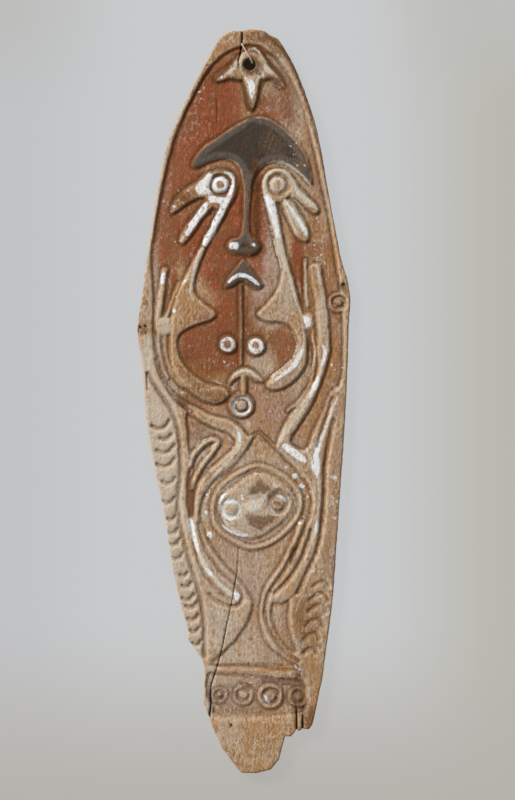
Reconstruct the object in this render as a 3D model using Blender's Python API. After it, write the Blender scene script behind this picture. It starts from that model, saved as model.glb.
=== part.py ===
# Gope board: one long carved board with a pointed top, and the short cord that it hangs from.
# The board lies on its back with the carved side up and its pointed end toward +Y.
# Lengths are in metres. Places on the carved side are given on a drawing of the board, whose
# x runs to the right and whose y runs down, and place() turns them into metres.
import math

import bmesh
import bpy
import numpy as np
from mathutils import Vector
from mathutils.geometry import delaunay_2d_cdt

# Driving dimensions
BOARD_LENGTH = 1.100
EDGE_THICKNESS = 0.012
CROWN = 0.007
END_THINNING = 0.004
RELIEF = 0.003
RELIEF_EDGE = 0.0017
HOLE_DIAMETER = 0.0175
HOLLOW_DEPTH = 0.008
HOLLOW_MARGIN = 0.009
HOLLOW_RAMP = 0.048
CORD_DIAMETER = 0.0019
CORD_POINT_SPACING = 0.0043
CORD_FINE_STEP = 0.0004

# The drawing: its unit, the top and foot of the board on it, and the board's middle line
DRAWING_TOP = 29.4
DRAWING_FOOT = 773.4
DRAWING_MIDDLE_X = 243.9
UNIT = BOARD_LENGTH / (DRAWING_FOOT - DRAWING_TOP)
HALF_WIDTH = 106.4 * UNIT

# Grid on which the relief is worked out, and how closely its lines are followed, in drawing units
GRID_STEP = 0.75
GRID_X = (132.0, 356.0)
GRID_Y = (24.0, 779.0)
LINE_TOLERANCE = 0.33
SHORTEST_LINE = 6
EDGE_MARGIN = 1.4
FILL_SPACING = 34.0
FILL_MARGIN = 9.0
OUTLINE_STEP = 18.0
CARVING_STEP = 6.0

# Lines of the hollowed back, as shares of its ramp, and how closely they are followed
HOLLOW_SHARES = (0.0, 0.25, 0.55, 1.0)
HOLLOW_TOLERANCE = 1.0

# How far from its line a carved form is still worked out, and the half width of a ring line
REACH = 6.0
RING_LINE_HALF_WIDTH = 1.2

HOLE_CENTRE = (249.6, 64.6)
HOLE_SIDES = 28

# Outline of the board, clockwise from the top: smooth flanks, and the broken foot point by point
TOP_SPLIT = [
    (240.8, 31.2), (240.7, 40.0), (240.5, 46.0), (241.2, 50.5), (242.6, 46.5), (243.3, 40.0), (243.4, 30.6)]
TOP_RIGHT = [(250, 29.4), (257, 29.9), (264.5, 30.8), (270, 35), (278, 38.8), (283, 46)]
RIGHT_FLANK = [
    (292, 61.5), (302, 84), (311, 109.5), (317, 130), (323, 160), (328, 190), (335.5, 230), (341.5, 260),
    (347.5, 280), (350.3, 300), (348.6, 330), (347.5, 370), (345, 420), (341, 480), (336.5, 545),
    (331.5, 610), (322, 680)]
RIGHT_BREAK = [
    (312.5, 724.5), (309, 729.6), (303.2, 729.4), (302.6, 712), (301.4, 712), (300.6, 730.6), (296.6, 731),
    (296, 704), (294.6, 704), (294.4, 731), (291, 736.5), (285, 736.2)]
TANG = [
    (282, 747), (279, 760), (270.5, 769.5), (256, 773.2), (241, 772.5), (232, 761.5), (222, 747.5),
    (214, 730), (209, 716)]
LEFT_BREAK = [
    (204, 704), (203.8, 680), (205, 668), (202, 659), (195, 648), (188.5, 640), (187.5, 629), (182.5, 611)]
LEFT_FLANK = [
    (178.5, 595), (171.5, 560), (163.5, 510), (155, 470), (146.5, 420), (142.5, 370), (137.5, 330),
    (141.5, 300), (146.5, 260), (153, 220), (161.5, 170), (172.5, 130), (191.5, 90), (207.5, 60), (217, 42)]
TOP_LEFT = [(221.5, 37), (228, 32.5), (234, 31)]

# Sunk fields
FACE_FIELD = [
    (243, 46), (228, 52), (212, 66), (200, 85), (187, 110), (174.5, 140), (165.5, 174), (159.5, 204),
    (153, 242), (151.5, 262), (153.5, 300), (153.5, 340), (157, 362), (163, 378), (172, 391), (184, 400.5),
    (197, 407), (212, 415), (229, 419), (242, 428), (248.5, 436), (253, 435), (259, 431.5), (266, 437),
    (275, 446), (278, 438), (288, 418), (303, 398), (314, 380), (318, 365), (317, 345), (330, 345),
    (328.5, 360), (322, 382), (313, 403), (301, 423), (292, 436), (292, 444), (301, 449.5), (308, 446),
    (314, 430), (324, 409), (331, 391), (338, 386), (342, 372), (343, 340), (342.5, 318), (337, 268),
    (328.5, 217), (320.5, 178), (310.5, 135), (302.5, 104), (290, 79.5), (279, 61.5), (267, 51), (254, 45)]
LEFT_KNEE_FIELD = [
    (187, 414), (200, 421), (214, 428), (229, 433.5), (235, 441), (232, 449), (218, 462), (206, 473),
    (198, 485), (194.5, 500), (193.5, 516), (189.5, 516), (187, 498), (187.5, 484), (190.5, 462), (188, 440)]
LOWER_FIELD = [
    (259, 432), (275, 448), (299, 473), (309, 487), (312, 500), (309, 516), (299, 522), (290, 545),
    (278, 567), (265, 587), (259.8, 607), (262, 632), (274, 650), (298, 664), (270, 665), (230, 662),
    (210, 661), (225, 649), (240, 634), (250.5, 614), (251.5, 599), (240, 581), (226, 566), (213, 549),
    (204, 532), (199.5, 516), (203, 498), (212, 483), (226, 472), (240, 459), (252, 441)]
RIGHT_FOOT_FIELD = [
    (273, 603), (282, 604), (289.5, 601), (288.5, 613), (289, 626), (293, 642), (296.5, 652), (289, 650),
    (280, 640), (273.5, 627), (271, 614)]
FOOT_PANEL = [
    (207, 676), (216, 673), (250, 675.5), (280, 678.5), (299, 680.5), (305, 686), (306, 700), (303, 712),
    (288, 714.5), (270, 716.5), (240, 716.5), (216, 715.5), (213, 707), (208, 696)]

# Raised forms standing in the sunk fields, as closed lines
BROW_AND_NOSE = [
    (191, 164), (200, 150), (213, 140), (226, 131), (243, 121), (260, 116.5), (274, 121), (289, 133),
    (302, 148), (309, 163), (312, 185), (304, 178.5), (294, 169), (282, 163), (271, 163), (262, 168),
    (255, 178), (251, 195), (250, 232), (257, 238.5), (261.5, 247), (256, 254.5), (248, 256.5),
    (241, 255), (232, 254), (226.5, 247), (231, 239), (241, 234), (243, 205), (242.5, 183), (237, 165),
    (223, 159.5), (209, 163), (197, 169)]
MOUTH = [
    (243, 258.5), (249, 267), (257, 277), (262.5, 286.5), (255, 289), (243, 281.5), (231, 287.5),
    (223.5, 288), (229, 276), (237, 266)]
LOWER_MOUTH = [
    (228, 386), (231, 375), (243, 367.5), (254, 370.5), (264, 381), (257, 382.5), (245, 376.5), (236, 380)]
LEFT_ARM = [
    (219, 205), (212, 223), (203, 241), (192, 261), (183, 279), (176.5, 292), (172.5, 306), (170.5, 318),
    (169.5, 330), (169.5, 350), (171.5, 366), (180, 383), (195, 396), (210, 404), (223, 402.5), (230, 394),
    (225, 386.5), (209, 384), (192, 373), (181, 358), (178, 344), (181, 334), (196, 326), (212, 320),
    (217, 313), (206, 304.5), (195.5, 294), (196, 277), (206, 250), (223, 220), (235, 198), (237, 184)]
LEFT_FIRST_FINGER = [
    (212, 171), (196, 181), (183, 190.5), (172, 203), (171, 215), (185, 206.5), (198, 199), (211, 196)]
LEFT_SECOND_FINGER = [
    (206, 200), (191, 218.5), (179, 235.5), (181.5, 245), (190, 238.5), (203, 220), (213, 206)]
RIGHT_ARM = [
    (263, 184), (265, 198), (270, 220), (276.5, 251), (281, 268), (278, 287), (266, 304), (256.5, 314.5),
    (266, 321.5), (285, 323.5), (294, 332), (297, 347), (289.5, 362), (271, 376.5), (266, 386), (275, 391),
    (292, 383.5), (305, 367), (307.5, 348), (305.5, 328), (303, 312), (295, 283), (286, 250), (279, 213),
    (277, 203), (281, 203), (292, 187)]
RIGHT_FIRST_FINGER = [(287, 172), (301, 188), (315, 203), (320, 211), (314, 214), (303, 205.5), (289, 194)]
RIGHT_SECOND_FINGER = [
    (281, 203), (292, 230), (301, 241.5), (309, 240.5), (308.5, 228), (299, 210), (290, 199)]
LEFT_WRIST = [(156.5, 320), (170, 318), (171, 334), (157.5, 335)]
RIGHT_WRIST = [(303, 314), (314, 314), (314, 328), (305, 330)]
TAIL = [(243, 74), (244.5, 88), (247.5, 104), (252, 111.5), (256.5, 104), (259.5, 88), (262, 74)]
LEFT_WING = [(240, 55), (229, 65), (214.5, 75.5), (216.5, 83), (229, 79.5), (243, 80)]
RIGHT_WING = [(259, 50), (268, 63), (281, 79), (287, 86), (280, 89), (271, 79.5), (261, 79)]

# Raised bands: middle line and half width in drawing units
CENTRE_RIB = ([(241, 286), (241.2, 364)], 2.1)
ROD = ([(243.6, 376), (243.6, 394)], 3.6)
LEFT_FINGER_BAND = ([(165, 270), (162, 290), (159, 310), (158.6, 324)], 3.6)
LEFT_INNER_FINGER = ([(179, 284), (173.5, 297), (169, 311), (164.5, 322)], 2.2)
LEFT_OUTER_RIDGE = ([(159, 335), (159.5, 350), (162.5, 364), (168, 378)], 1.9)
LEFT_INNER_RIDGE = ([(165, 335), (166.2, 352), (169, 365), (175, 378), (183, 387)], 1.8)
RIGHT_FINGER_BAND = ([(316, 268), (316.5, 282), (319, 300), (322, 320), (323.5, 345)], 4.8)
RIGHT_FINGER_RIDGE = ([(305.6, 258), (305.8, 285), (308, 310)], 1.6)
RIGHT_INNER_RIDGE = ([(312.6, 330), (315.5, 355), (312, 380), (301, 399), (288, 411)], 1.7)
LEFT_HOOK = (
    [(190, 466), (193, 456), (203, 445), (213, 439.5), (218.5, 442), (214, 450.5), (204, 463), (196, 477),
     (192.5, 488)], 2.9)

# Raised discs and rings: centre, outer radius, and the radius of the sunk ring line inside it
LEFT_EYE = ((221, 185), 16.2, 9.2)
RIGHT_EYE = ((278.2, 184.6), 16.2, 9.2)
LEFT_BREAST = ((228, 344.6), 9.8, None)
RIGHT_BREAST = ((256, 346.2), 9.8, None)
NAVEL = ((241.6, 405.4), 13.0, 7.2)
HOLE_BOSS = ((251, 65), 14.2, None)
LEFT_OVAL_EYE = ((230.5, 508.5), 12.2, 8.4)
RIGHT_OVAL_EYE = ((278, 503.5), 13.2, 8.6)
EDGE_RING = ((339, 302.6), 10.6, 5.6)
FOOT_RINGS = [
    ((219.5, 695), 8.2, 4.6), ((243.5, 695), 10.6, 5.6), ((270.5, 696), 13.0, 7.0), ((298.5, 697), 10.4, 5.6)]

# The oval medallion's rim: its middle line and half width
OVAL_RIM = [
    (259, 466), (245, 470), (230, 479), (218, 491), (213.5, 505), (214.5, 520), (221, 532), (236, 542),
    (253, 547.5), (271, 542), (287, 530), (298, 515), (301, 501), (295, 487), (280, 474)]
OVAL_RIM_HALF_WIDTH = 2.8
OVAL_INSIDE = [
    (258, 473), (236, 484), (221, 497), (220, 514), (230, 529), (253, 538.5), (276, 527), (291, 512),
    (293.5, 498), (282, 481)]

# Cut lines in the standing surface: middle line and half width in drawing units
CUT_LINES = [
    ([(155.5, 360), (163.5, 381), (176.5, 400), (192, 413)], 1.5),
    ([(148, 374), (160, 394), (173, 414), (179, 436), (180.5, 470), (178.2, 508), (185.2, 546), (195.2, 580),
      (203, 613), (204.8, 657)], 1.7),
    ([(190.5, 518), (196, 551), (205, 575), (219, 590), (230, 600.5)], 1.1),
    ([(198.5, 524), (205.5, 549), (220.5, 571), (238.5, 588), (242.8, 598), (235, 606.5), (219, 602),
      (209, 594)], 1.3),
    ([(334, 420), (325.5, 458), (324, 490), (322.5, 515), (318, 545), (306, 575), (298, 592)], 1.7),
    ([(310, 514), (298.5, 543), (284, 571), (267.5, 597), (266.6, 622), (281.5, 648), (298, 661)], 1.7),
    ([(311, 530), (303, 555), (290, 577), (275, 593)], 1.6),
    ([(333, 398), (323, 428), (317.5, 447)], 1.2)]

# Scallops down the left strip: their lowest place and their width
SCALLOPS = [
    (161, 429, 17), (166, 440, 11), (166, 453, 17), (166, 467, 17), (169, 484, 13), (169, 503, 12),
    (172, 520, 8), (173, 534, 11), (174, 545, 12), (177, 559, 12), (184, 576, 7), (187, 587, 9),
    (188, 600, 12), (192, 608, 11), (193, 620, 10), (195, 632, 9), (197, 645, 8)]
SCALLOP_HALF_WIDTH = 1.15

# Chevrons down the right strip: their peak and their width
CHEVRONS = [(321, 581, 17), (320, 593, 21), (318, 605, 20), (316, 619, 19), (313, 633, 17), (311, 648, 15)]
CHEVRON_HALF_WIDTH = 1.2

# The hanging cord's route: place on the drawing, and height in metres. It is tied behind the board,
# comes up through the split, crosses the face and goes down the hole.
CORD_ROUTE = [
    (247.6, 52.6, 0.0030), (245.0, 50.2, 0.0026), (242.9, 47.2, 0.0020), (241.9, 44.9, 0.0034),
    (241.7, 44.1, 0.0075), (241.7, 43.9, 0.0120), (241.7, 44.0, 0.0165), (242.1, 44.9, 0.0198),
    (243.6, 47.4, 0.0207), (246.0, 51.4, 0.0207), (248.6, 55.8, 0.0206), (250.6, 59.2, 0.0202),
    (252.0, 61.6, 0.0180), (252.4, 62.6, 0.0140), (252.2, 62.4, 0.0095), (251.0, 60.9, 0.0058),
    (249.2, 57.9, 0.0045), (247.9, 54.6, 0.0048)]


def smooth(points, closed, step=CARVING_STEP):
    """Points along a smooth curve through the given ones (a Catmull-Rom spline)."""
    pts = [np.array(p, float) for p in points]
    count = len(pts)
    spans = count if closed else count - 1
    out = []
    for i in range(spans):
        if closed:
            before, start, end, after = (pts[(i + k) % count] for k in (-1, 0, 1, 2))
        else:
            before, start = pts[max(i - 1, 0)], pts[i]
            end, after = pts[i + 1], pts[min(i + 2, count - 1)]
        pieces = max(1, int(round(np.linalg.norm(end - start) / step)))
        for k in range(pieces):
            t = k / pieces
            out.append(0.5 * (2 * start + (end - before) * t
                              + (2 * before - 5 * start + 4 * end - after) * t * t
                              + (3 * start - before - 3 * end + after) * t ** 3))
    if not closed:
        out.append(pts[-1])
    return np.array(out)


def board_outline():
    """Closed outline of the board on the drawing, with the split at the top and the broken foot."""
    right = smooth([TOP_RIGHT[-1]] + RIGHT_FLANK, False, OUTLINE_STEP)[1:-1]
    left = smooth([LEFT_BREAK[-1]] + LEFT_FLANK + [TOP_LEFT[0]], False, OUTLINE_STEP)[1:-1]
    parts = [TOP_SPLIT, TOP_RIGHT, right, [RIGHT_FLANK[-1]], RIGHT_BREAK, TANG, LEFT_BREAK, left, TOP_LEFT]
    return np.array([tuple(map(float, p)) for part in parts for p in part])


def unbroken_outline():
    """The outline as it was before the splits, which the hollow of the back follows."""
    right = smooth(TOP_RIGHT + RIGHT_FLANK, False, OUTLINE_STEP)
    left = smooth(LEFT_FLANK + TOP_LEFT, False, OUTLINE_STEP)
    return np.vstack([right, RIGHT_BREAK[:1], TANG[1:-1], left])


def circle(centre, radius, sides):
    """Closed ring of points round a centre."""
    turn = np.arange(sides) * 2 * math.pi / sides
    return np.stack([centre[0] + radius * np.cos(turn), centre[1] + radius * np.sin(turn)], axis=1)


def distance_to_line(x, y, line):
    """Distance from every point to a line of straight pieces."""
    best = np.full(x.shape, 1e9)
    for (ax, ay), (bx, by) in zip(line[:-1], line[1:]):
        dx, dy = bx - ax, by - ay
        t = np.clip(((x - ax) * dx + (y - ay) * dy) / (dx * dx + dy * dy + 1e-12), 0, 1)
        best = np.minimum(best, np.hypot(x - ax - t * dx, y - ay - t * dy))
    return best


def inside(x, y, ring):
    """True where a point lies inside a closed ring."""
    result = np.zeros(x.shape, bool)
    for (ax, ay), (bx, by) in zip(ring, np.roll(ring, -1, axis=0)):
        if ay == by:
            continue
        crosses = (y < ay) != (y < by)
        result ^= crosses & (x < ax + (y - ay) * (bx - ax) / (by - ay))
    return result


def depth_inside(x, y, ring):
    """Distance to a closed ring, positive inside it."""
    distance = distance_to_line(x, y, np.vstack([ring, ring[:1]]))
    return np.where(inside(x, y, ring), distance, -distance)


def near(x, y, points, margin):
    """The points of a flat list that lie in the box round some others."""
    low, high = np.min(points, axis=0) - margin, np.max(points, axis=0) + margin
    return np.nonzero((x > low[0]) & (x < high[0]) & (y > low[1]) & (y < high[1]))[0]


def raise_region(depth, x, y, points):
    """Adds the inside of a smooth closed line to the standing surface."""
    ring = smooth(points, True)
    pick = near(x, y, ring, REACH)
    depth[pick] = np.maximum(depth[pick], depth_inside(x[pick], y[pick], ring))


def sink_region(depth, x, y, points):
    """Takes the inside of a smooth closed line out of the standing surface."""
    ring = smooth(points, True)
    pick = near(x, y, ring, REACH)
    depth[pick] = np.minimum(depth[pick], -depth_inside(x[pick], y[pick], ring))


def raise_band(depth, x, y, points, half_width, closed=False):
    """Adds a band along a smooth line to the standing surface."""
    line = smooth(points, closed)
    if closed:
        line = np.vstack([line, line[:1]])
    pick = near(x, y, line, REACH + half_width)
    depth[pick] = np.maximum(depth[pick], half_width - distance_to_line(x[pick], y[pick], line))


def cut_band(depth, x, y, points, half_width):
    """Cuts a line into the standing surface."""
    line = smooth(points, False)
    pick = near(x, y, line, REACH + half_width)
    depth[pick] = np.minimum(depth[pick], distance_to_line(x[pick], y[pick], line) - half_width)


def raise_disc(depth, x, y, disc):
    """Adds a disc to the standing surface, with a ring line cut into it."""
    (cx, cy), outer, line_radius = disc
    pick = near(x, y, [(cx, cy)], outer + REACH)
    radius = np.hypot(x[pick] - cx, y[pick] - cy)
    level = np.maximum(depth[pick], outer - radius)
    if line_radius is not None:
        level = np.minimum(level, np.abs(radius - line_radius) - RING_LINE_HALF_WIDTH)
    depth[pick] = level


def scallop(cx, cy, width):
    """Line of one scallop: a shallow cup that rises further on its right side."""
    half = width / 2
    return [(cx - half, cy - 0.16 * width), (cx - 0.3 * half, cy), (cx + 0.45 * half, cy - 0.12 * width),
            (cx + half, cy - 0.5 * width)]


def chevron(cx, cy, width):
    """Line of one chevron: a low roof whose left side runs further down."""
    half = width / 2
    return [(cx - half, cy + 0.35 * width), (cx - 0.35 * half, cy + 0.08 * width), (cx + 0.3 * half, cy),
            (cx + 0.75 * half, cy + 0.35 * width)]


def standing_depth(x, y):
    """How far inside the standing surface of the carving a point lies, negative in sunk places."""
    depth = np.full(x.shape, REACH)
    for field in (FACE_FIELD, LEFT_KNEE_FIELD, LOWER_FIELD, RIGHT_FOOT_FIELD, FOOT_PANEL):
        sink_region(depth, x, y, field)
    for form in (BROW_AND_NOSE, MOUTH, LOWER_MOUTH, LEFT_ARM, LEFT_FIRST_FINGER, LEFT_SECOND_FINGER,
                 RIGHT_ARM, RIGHT_FIRST_FINGER, RIGHT_SECOND_FINGER, LEFT_WRIST, RIGHT_WRIST, TAIL,
                 LEFT_WING, RIGHT_WING, OVAL_INSIDE):
        raise_region(depth, x, y, form)
    for points, half_width in (CENTRE_RIB, ROD, LEFT_FINGER_BAND, LEFT_INNER_FINGER, LEFT_OUTER_RIDGE,
                               LEFT_INNER_RIDGE, RIGHT_FINGER_BAND, RIGHT_FINGER_RIDGE,
                               RIGHT_INNER_RIDGE, LEFT_HOOK):
        raise_band(depth, x, y, points, half_width)
    raise_band(depth, x, y, OVAL_RIM, OVAL_RIM_HALF_WIDTH, closed=True)
    for points, half_width in CUT_LINES:
        cut_band(depth, x, y, points, half_width)
    for cx, cy, width in SCALLOPS:
        cut_band(depth, x, y, scallop(cx, cy, width), SCALLOP_HALF_WIDTH)
    for cx, cy, width in CHEVRONS:
        cut_band(depth, x, y, chevron(cx, cy, width), CHEVRON_HALF_WIDTH)
    for disc in [LEFT_EYE, RIGHT_EYE, LEFT_BREAST, RIGHT_BREAST, NAVEL, LEFT_OVAL_EYE, RIGHT_OVAL_EYE,
                 EDGE_RING] + FOOT_RINGS:
        raise_disc(depth, x, y, disc)
    raise_disc(depth, x, y, HOLE_BOSS)
    return depth


def place(x, y):
    """Metres for a place on the drawing."""
    middle_y = (DRAWING_TOP + DRAWING_FOOT) / 2
    return (x - DRAWING_MIDDLE_X) * UNIT, (middle_y - y) * UNIT


def ground_height(x, y):
    """Height of the sunk ground: crowned across the board and a little thinner at its ends."""
    across, along = place(x, y)
    crown = CROWN * (1 - (across / HALF_WIDTH) ** 2)
    return EDGE_THICKNESS + crown - END_THINNING * np.abs(2 * along / BOARD_LENGTH) ** 3


def front_height(x, y):
    """Height of the carved side."""
    share = np.clip(standing_depth(x, y) * UNIT / RELIEF_EDGE, 0, 1)
    return ground_height(x, y) + RELIEF * share


def back_height(edge_depth):
    """Height of the hollowed back, from the distance to the board's edge in drawing units."""
    t = np.clip((edge_depth * UNIT - HOLLOW_MARGIN) / HOLLOW_RAMP, 0, 1)
    return HOLLOW_DEPTH * (1 - (1 - t) ** 2)


def contour_lines(field, level):
    """Lines along which a grid of values crosses a level, as lists of grid places."""
    high = field > level
    code = (high[:-1, :-1] * 1 + high[1:, :-1] * 2 + high[1:, 1:] * 4 + high[:-1, 1:] * 8)
    # Sides of a cell: 0 low j, 1 high i, 2 high j, 3 low i. Each pair keeps the high ground on its left.
    pairs = {1: [(0, 3)], 2: [(1, 0)], 3: [(1, 3)], 4: [(2, 1)], 5: [(0, 3), (2, 1)], 6: [(2, 0)],
             7: [(2, 3)], 8: [(3, 2)], 9: [(0, 2)], 10: [(1, 0), (3, 2)], 11: [(1, 2)], 12: [(3, 1)],
             13: [(0, 1)], 14: [(3, 0)]}

    def side(i, j, number):
        if number == 0:
            return (i, j, 0)
        if number == 1:
            return (i + 1, j, 1)
        if number == 2:
            return (i, j + 1, 0)
        return (i, j, 1)

    following = {}
    for i, j in zip(*np.nonzero((code > 0) & (code < 15))):
        for start, end in pairs[int(code[i, j])]:
            following[side(int(i), int(j), start)] = side(int(i), int(j), end)

    def crossing(key):
        i, j, along_j = key
        i2, j2 = (i, j + 1) if along_j else (i + 1, j)
        t = (level - field[i, j]) / (field[i2, j2] - field[i, j])
        return i + (i2 - i) * t, j + (j2 - j) * t

    heads = set(following) - set(following.values())
    lines = []
    for start in sorted(heads) + sorted(following):
        if start not in following:
            continue
        line, key = [crossing(start)], start
        while key in following:
            key = following.pop(key)
            line.append(crossing(key))
        lines.append(np.array(line))
    return lines


def simplify(line, tolerance):
    """The fewest points of a line that keep it within a tolerance."""
    keep = [0, len(line) - 1]
    if np.linalg.norm(line[0] - line[-1]) < 1e-9:
        keep.append(len(line) // 2)
    stack = [tuple(pair) for pair in zip(sorted(keep)[:-1], sorted(keep)[1:])]
    while stack:
        a, b = stack.pop()
        if b - a < 2:
            continue
        gap = distance_to_line(line[a + 1:b, 0], line[a + 1:b, 1], line[[a, b]])
        worst = int(np.argmax(gap))
        if gap[worst] > tolerance:
            keep.append(a + 1 + worst)
            stack += [(a, a + 1 + worst), (a + 1 + worst, b)]
    return line[sorted(keep)]


def grid():
    """Grid of drawing places, as two arrays."""
    xs = np.arange(GRID_X[0], GRID_X[1], GRID_STEP)
    ys = np.arange(GRID_Y[0], GRID_Y[1], GRID_STEP)
    return np.meshgrid(xs, ys, indexing="ij")


class Plan:
    """Points and lines to be joined into triangles."""

    def __init__(self, rings):
        self.points = []
        self.edges = []
        self.rings = rings
        for ring in rings:
            self.add_line(ring, closed=True)

    def add_line(self, line, closed=False):
        start = len(self.points)
        self.points += [Vector((float(p[0]), float(p[1]))) for p in line]
        count = len(line)
        self.edges += [(start + k, start + k + 1) for k in range(count - 1)]
        if closed:
            self.edges.append((start + count - 1, start))

    def clear_of_rings(self, line, margin):
        """Runs of a line that stay inside the board and clear of its rings."""
        x, y = line[:, 0], line[:, 1]
        good = depth_inside(x, y, self.rings[0]) > margin
        for ring in self.rings[1:]:
            good &= depth_inside(x, y, ring) < -margin
        runs, run = [], []
        for point, fine in zip(line, good):
            if fine:
                run.append(point)
            elif run:
                runs.append(np.array(run))
                run = []
        if run:
            runs.append(np.array(run))
        return [r for r in runs if len(r) > 1]

    def triangles(self):
        """Points and triangles, without what falls outside the board or in its hole."""
        points, _, faces, *_ = delaunay_2d_cdt(self.points, self.edges, [], 0, 1e-4)
        xy = np.array([(p.x, p.y) for p in points])
        tris = np.array([list(f) for f in faces])
        middle = xy[tris].mean(axis=1)
        keep = inside(middle[:, 0], middle[:, 1], self.rings[0])
        for ring in self.rings[1:]:
            keep &= ~inside(middle[:, 0], middle[:, 1], ring)
        return xy, tris[keep]


def fill_points(plan, spacing, margin, taken):
    """Adds single points on a loose grid, away from the lines, so the crown stays round."""
    for x in np.arange(GRID_X[0], GRID_X[1], spacing):
        for y in np.arange(GRID_Y[0], GRID_Y[1], spacing):
            px, py = np.array([x]), np.array([y])
            if depth_inside(px, py, plan.rings[0])[0] < margin:
                continue
            if any(depth_inside(px, py, ring)[0] > -margin for ring in plan.rings[1:]):
                continue
            if np.min(np.hypot(taken[:, 0] - x, taken[:, 1] - y)) < margin:
                continue
            plan.points.append(Vector((float(x), float(y))))


def board_mesh():
    """The carved board as one closed solid."""
    outline = board_outline()
    hole = circle(HOLE_CENTRE, HOLE_DIAMETER / 2 / UNIT, HOLE_SIDES)
    gx, gy = grid()
    depth = standing_depth(gx.ravel(), gy.ravel()).reshape(gx.shape)
    whole = unbroken_outline()
    edge_depth = depth_inside(gx.ravel(), gy.ravel(), whole).reshape(gx.shape)
    origin = np.array([GRID_X[0], GRID_Y[0]])

    front = Plan([outline, hole])
    for level in (0.0, RELIEF_EDGE / UNIT):
        for line in contour_lines(depth, level):
            if len(line) < SHORTEST_LINE:
                continue
            for run in front.clear_of_rings(origin + line * GRID_STEP, EDGE_MARGIN):
                front.add_line(simplify(run, LINE_TOLERANCE))
    fill_points(front, FILL_SPACING, FILL_MARGIN, np.array([tuple(p) for p in front.points]))
    front_xy, front_tris = front.triangles()

    back = Plan([outline, hole])
    for share in HOLLOW_SHARES:
        level = (HOLLOW_MARGIN + HOLLOW_RAMP * share) / UNIT
        for line in contour_lines(edge_depth, level):
            for run in back.clear_of_rings(origin + line * GRID_STEP, EDGE_MARGIN):
                back.add_line(simplify(run, HOLLOW_TOLERANCE))
    back_xy, back_tris = back.triangles()

    mesh = bmesh.new()
    top_z = front_height(front_xy[:, 0], front_xy[:, 1])
    low_z = back_height(depth_inside(back_xy[:, 0], back_xy[:, 1], whole))
    tops = [mesh.verts.new((*place(x, y), z)) for (x, y), z in zip(front_xy, top_z)]
    lows = [mesh.verts.new((*place(x, y), z)) for (x, y), z in zip(back_xy, low_z)]
    for tri in front_tris:
        mesh.faces.new([tops[k] for k in tri])
    for tri in back_tris:
        mesh.faces.new([lows[k] for k in reversed(tri)])
    join_sides(mesh, tops, front_xy, lows, back_xy)
    loose = [v for v in mesh.verts if not v.link_faces]
    bmesh.ops.delete(mesh, geom=loose, context="VERTS")
    bmesh.ops.recalc_face_normals(mesh, faces=mesh.faces)
    return mesh


def join_sides(mesh, tops, front_xy, lows, back_xy):
    """Walls between the open edges of the two sides."""
    below = {}
    for vert, (x, y) in zip(lows, back_xy):
        below[(round(x, 3), round(y, 3))] = vert
    key = {vert: (round(x, 3), round(y, 3)) for vert, (x, y) in zip(tops, front_xy)}
    top_set = set(tops)
    open_edges = [e for e in mesh.edges if len(e.link_faces) == 1 and e.verts[0] in top_set]
    for edge in open_edges:
        a, b = edge.verts
        c, d = below[key[b]], below[key[a]]
        mesh.faces.new((a, b, c))
        mesh.faces.new((a, c, d))


def material(name, colour, roughness):
    """Plain Principled material."""
    mat = bpy.data.materials.new(name)
    mat.use_nodes = True
    shader = mat.node_tree.nodes["Principled BSDF"]
    shader.inputs["Base Color"].default_value = (*colour, 1)
    shader.inputs["Roughness"].default_value = roughness
    shader.inputs["Metallic"].default_value = 0.0
    mat.diffuse_color = (*colour, 1)
    return mat


def board_object():
    """The board in its node."""
    mesh = board_mesh()
    data = bpy.data.meshes.new("board")
    mesh.to_mesh(data)
    mesh.free()
    obj = bpy.data.objects.new("board", data)
    obj.data.materials.append(material("carved_wood", (0.30, 0.165, 0.095), 0.85))
    bpy.context.collection.objects.link(obj)
    return obj


def cord_points():
    """Points along the cord, in metres, read from a smooth curve through its route."""
    knots = [np.array((*place(x, y), z)) for x, y, z in CORD_ROUTE]
    fine = smooth(knots, False, CORD_FINE_STEP)
    run = np.concatenate([[0], np.cumsum(np.linalg.norm(np.diff(fine, axis=0), axis=1))])
    count = int(round(run[-1] / CORD_POINT_SPACING)) + 1
    at = np.linspace(0, run[-1], count)
    return np.stack([np.interp(at, run, fine[:, k]) for k in range(3)], axis=1)


def cord_object():
    """The hanging cord: a thin tube along its route."""
    curve = bpy.data.curves.new("hanging_cord", "CURVE")
    curve.dimensions = "3D"
    curve.bevel_depth = CORD_DIAMETER / 2
    curve.bevel_resolution = 2
    curve.use_fill_caps = True
    points = cord_points()
    spline = curve.splines.new("POLY")
    spline.points.add(len(points) - 1)
    for point, (x, y, z) in zip(spline.points, points):
        point.co = (x, y, z, 1)
    obj = bpy.data.objects.new("hanging_cord", curve)
    curve.materials.append(material("cord_fibre", (0.78, 0.70, 0.60), 0.9))
    bpy.context.collection.objects.link(obj)
    return obj


def main():
    for obj in list(bpy.data.objects):
        bpy.data.objects.remove(obj, do_unlink=True)
    board_object()
    cord_object()


main()
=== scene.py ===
import math
from types import SimpleNamespace

import bpy
import numpy as np
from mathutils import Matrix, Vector
from mathutils.geometry import delaunay_2d_cdt


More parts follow.
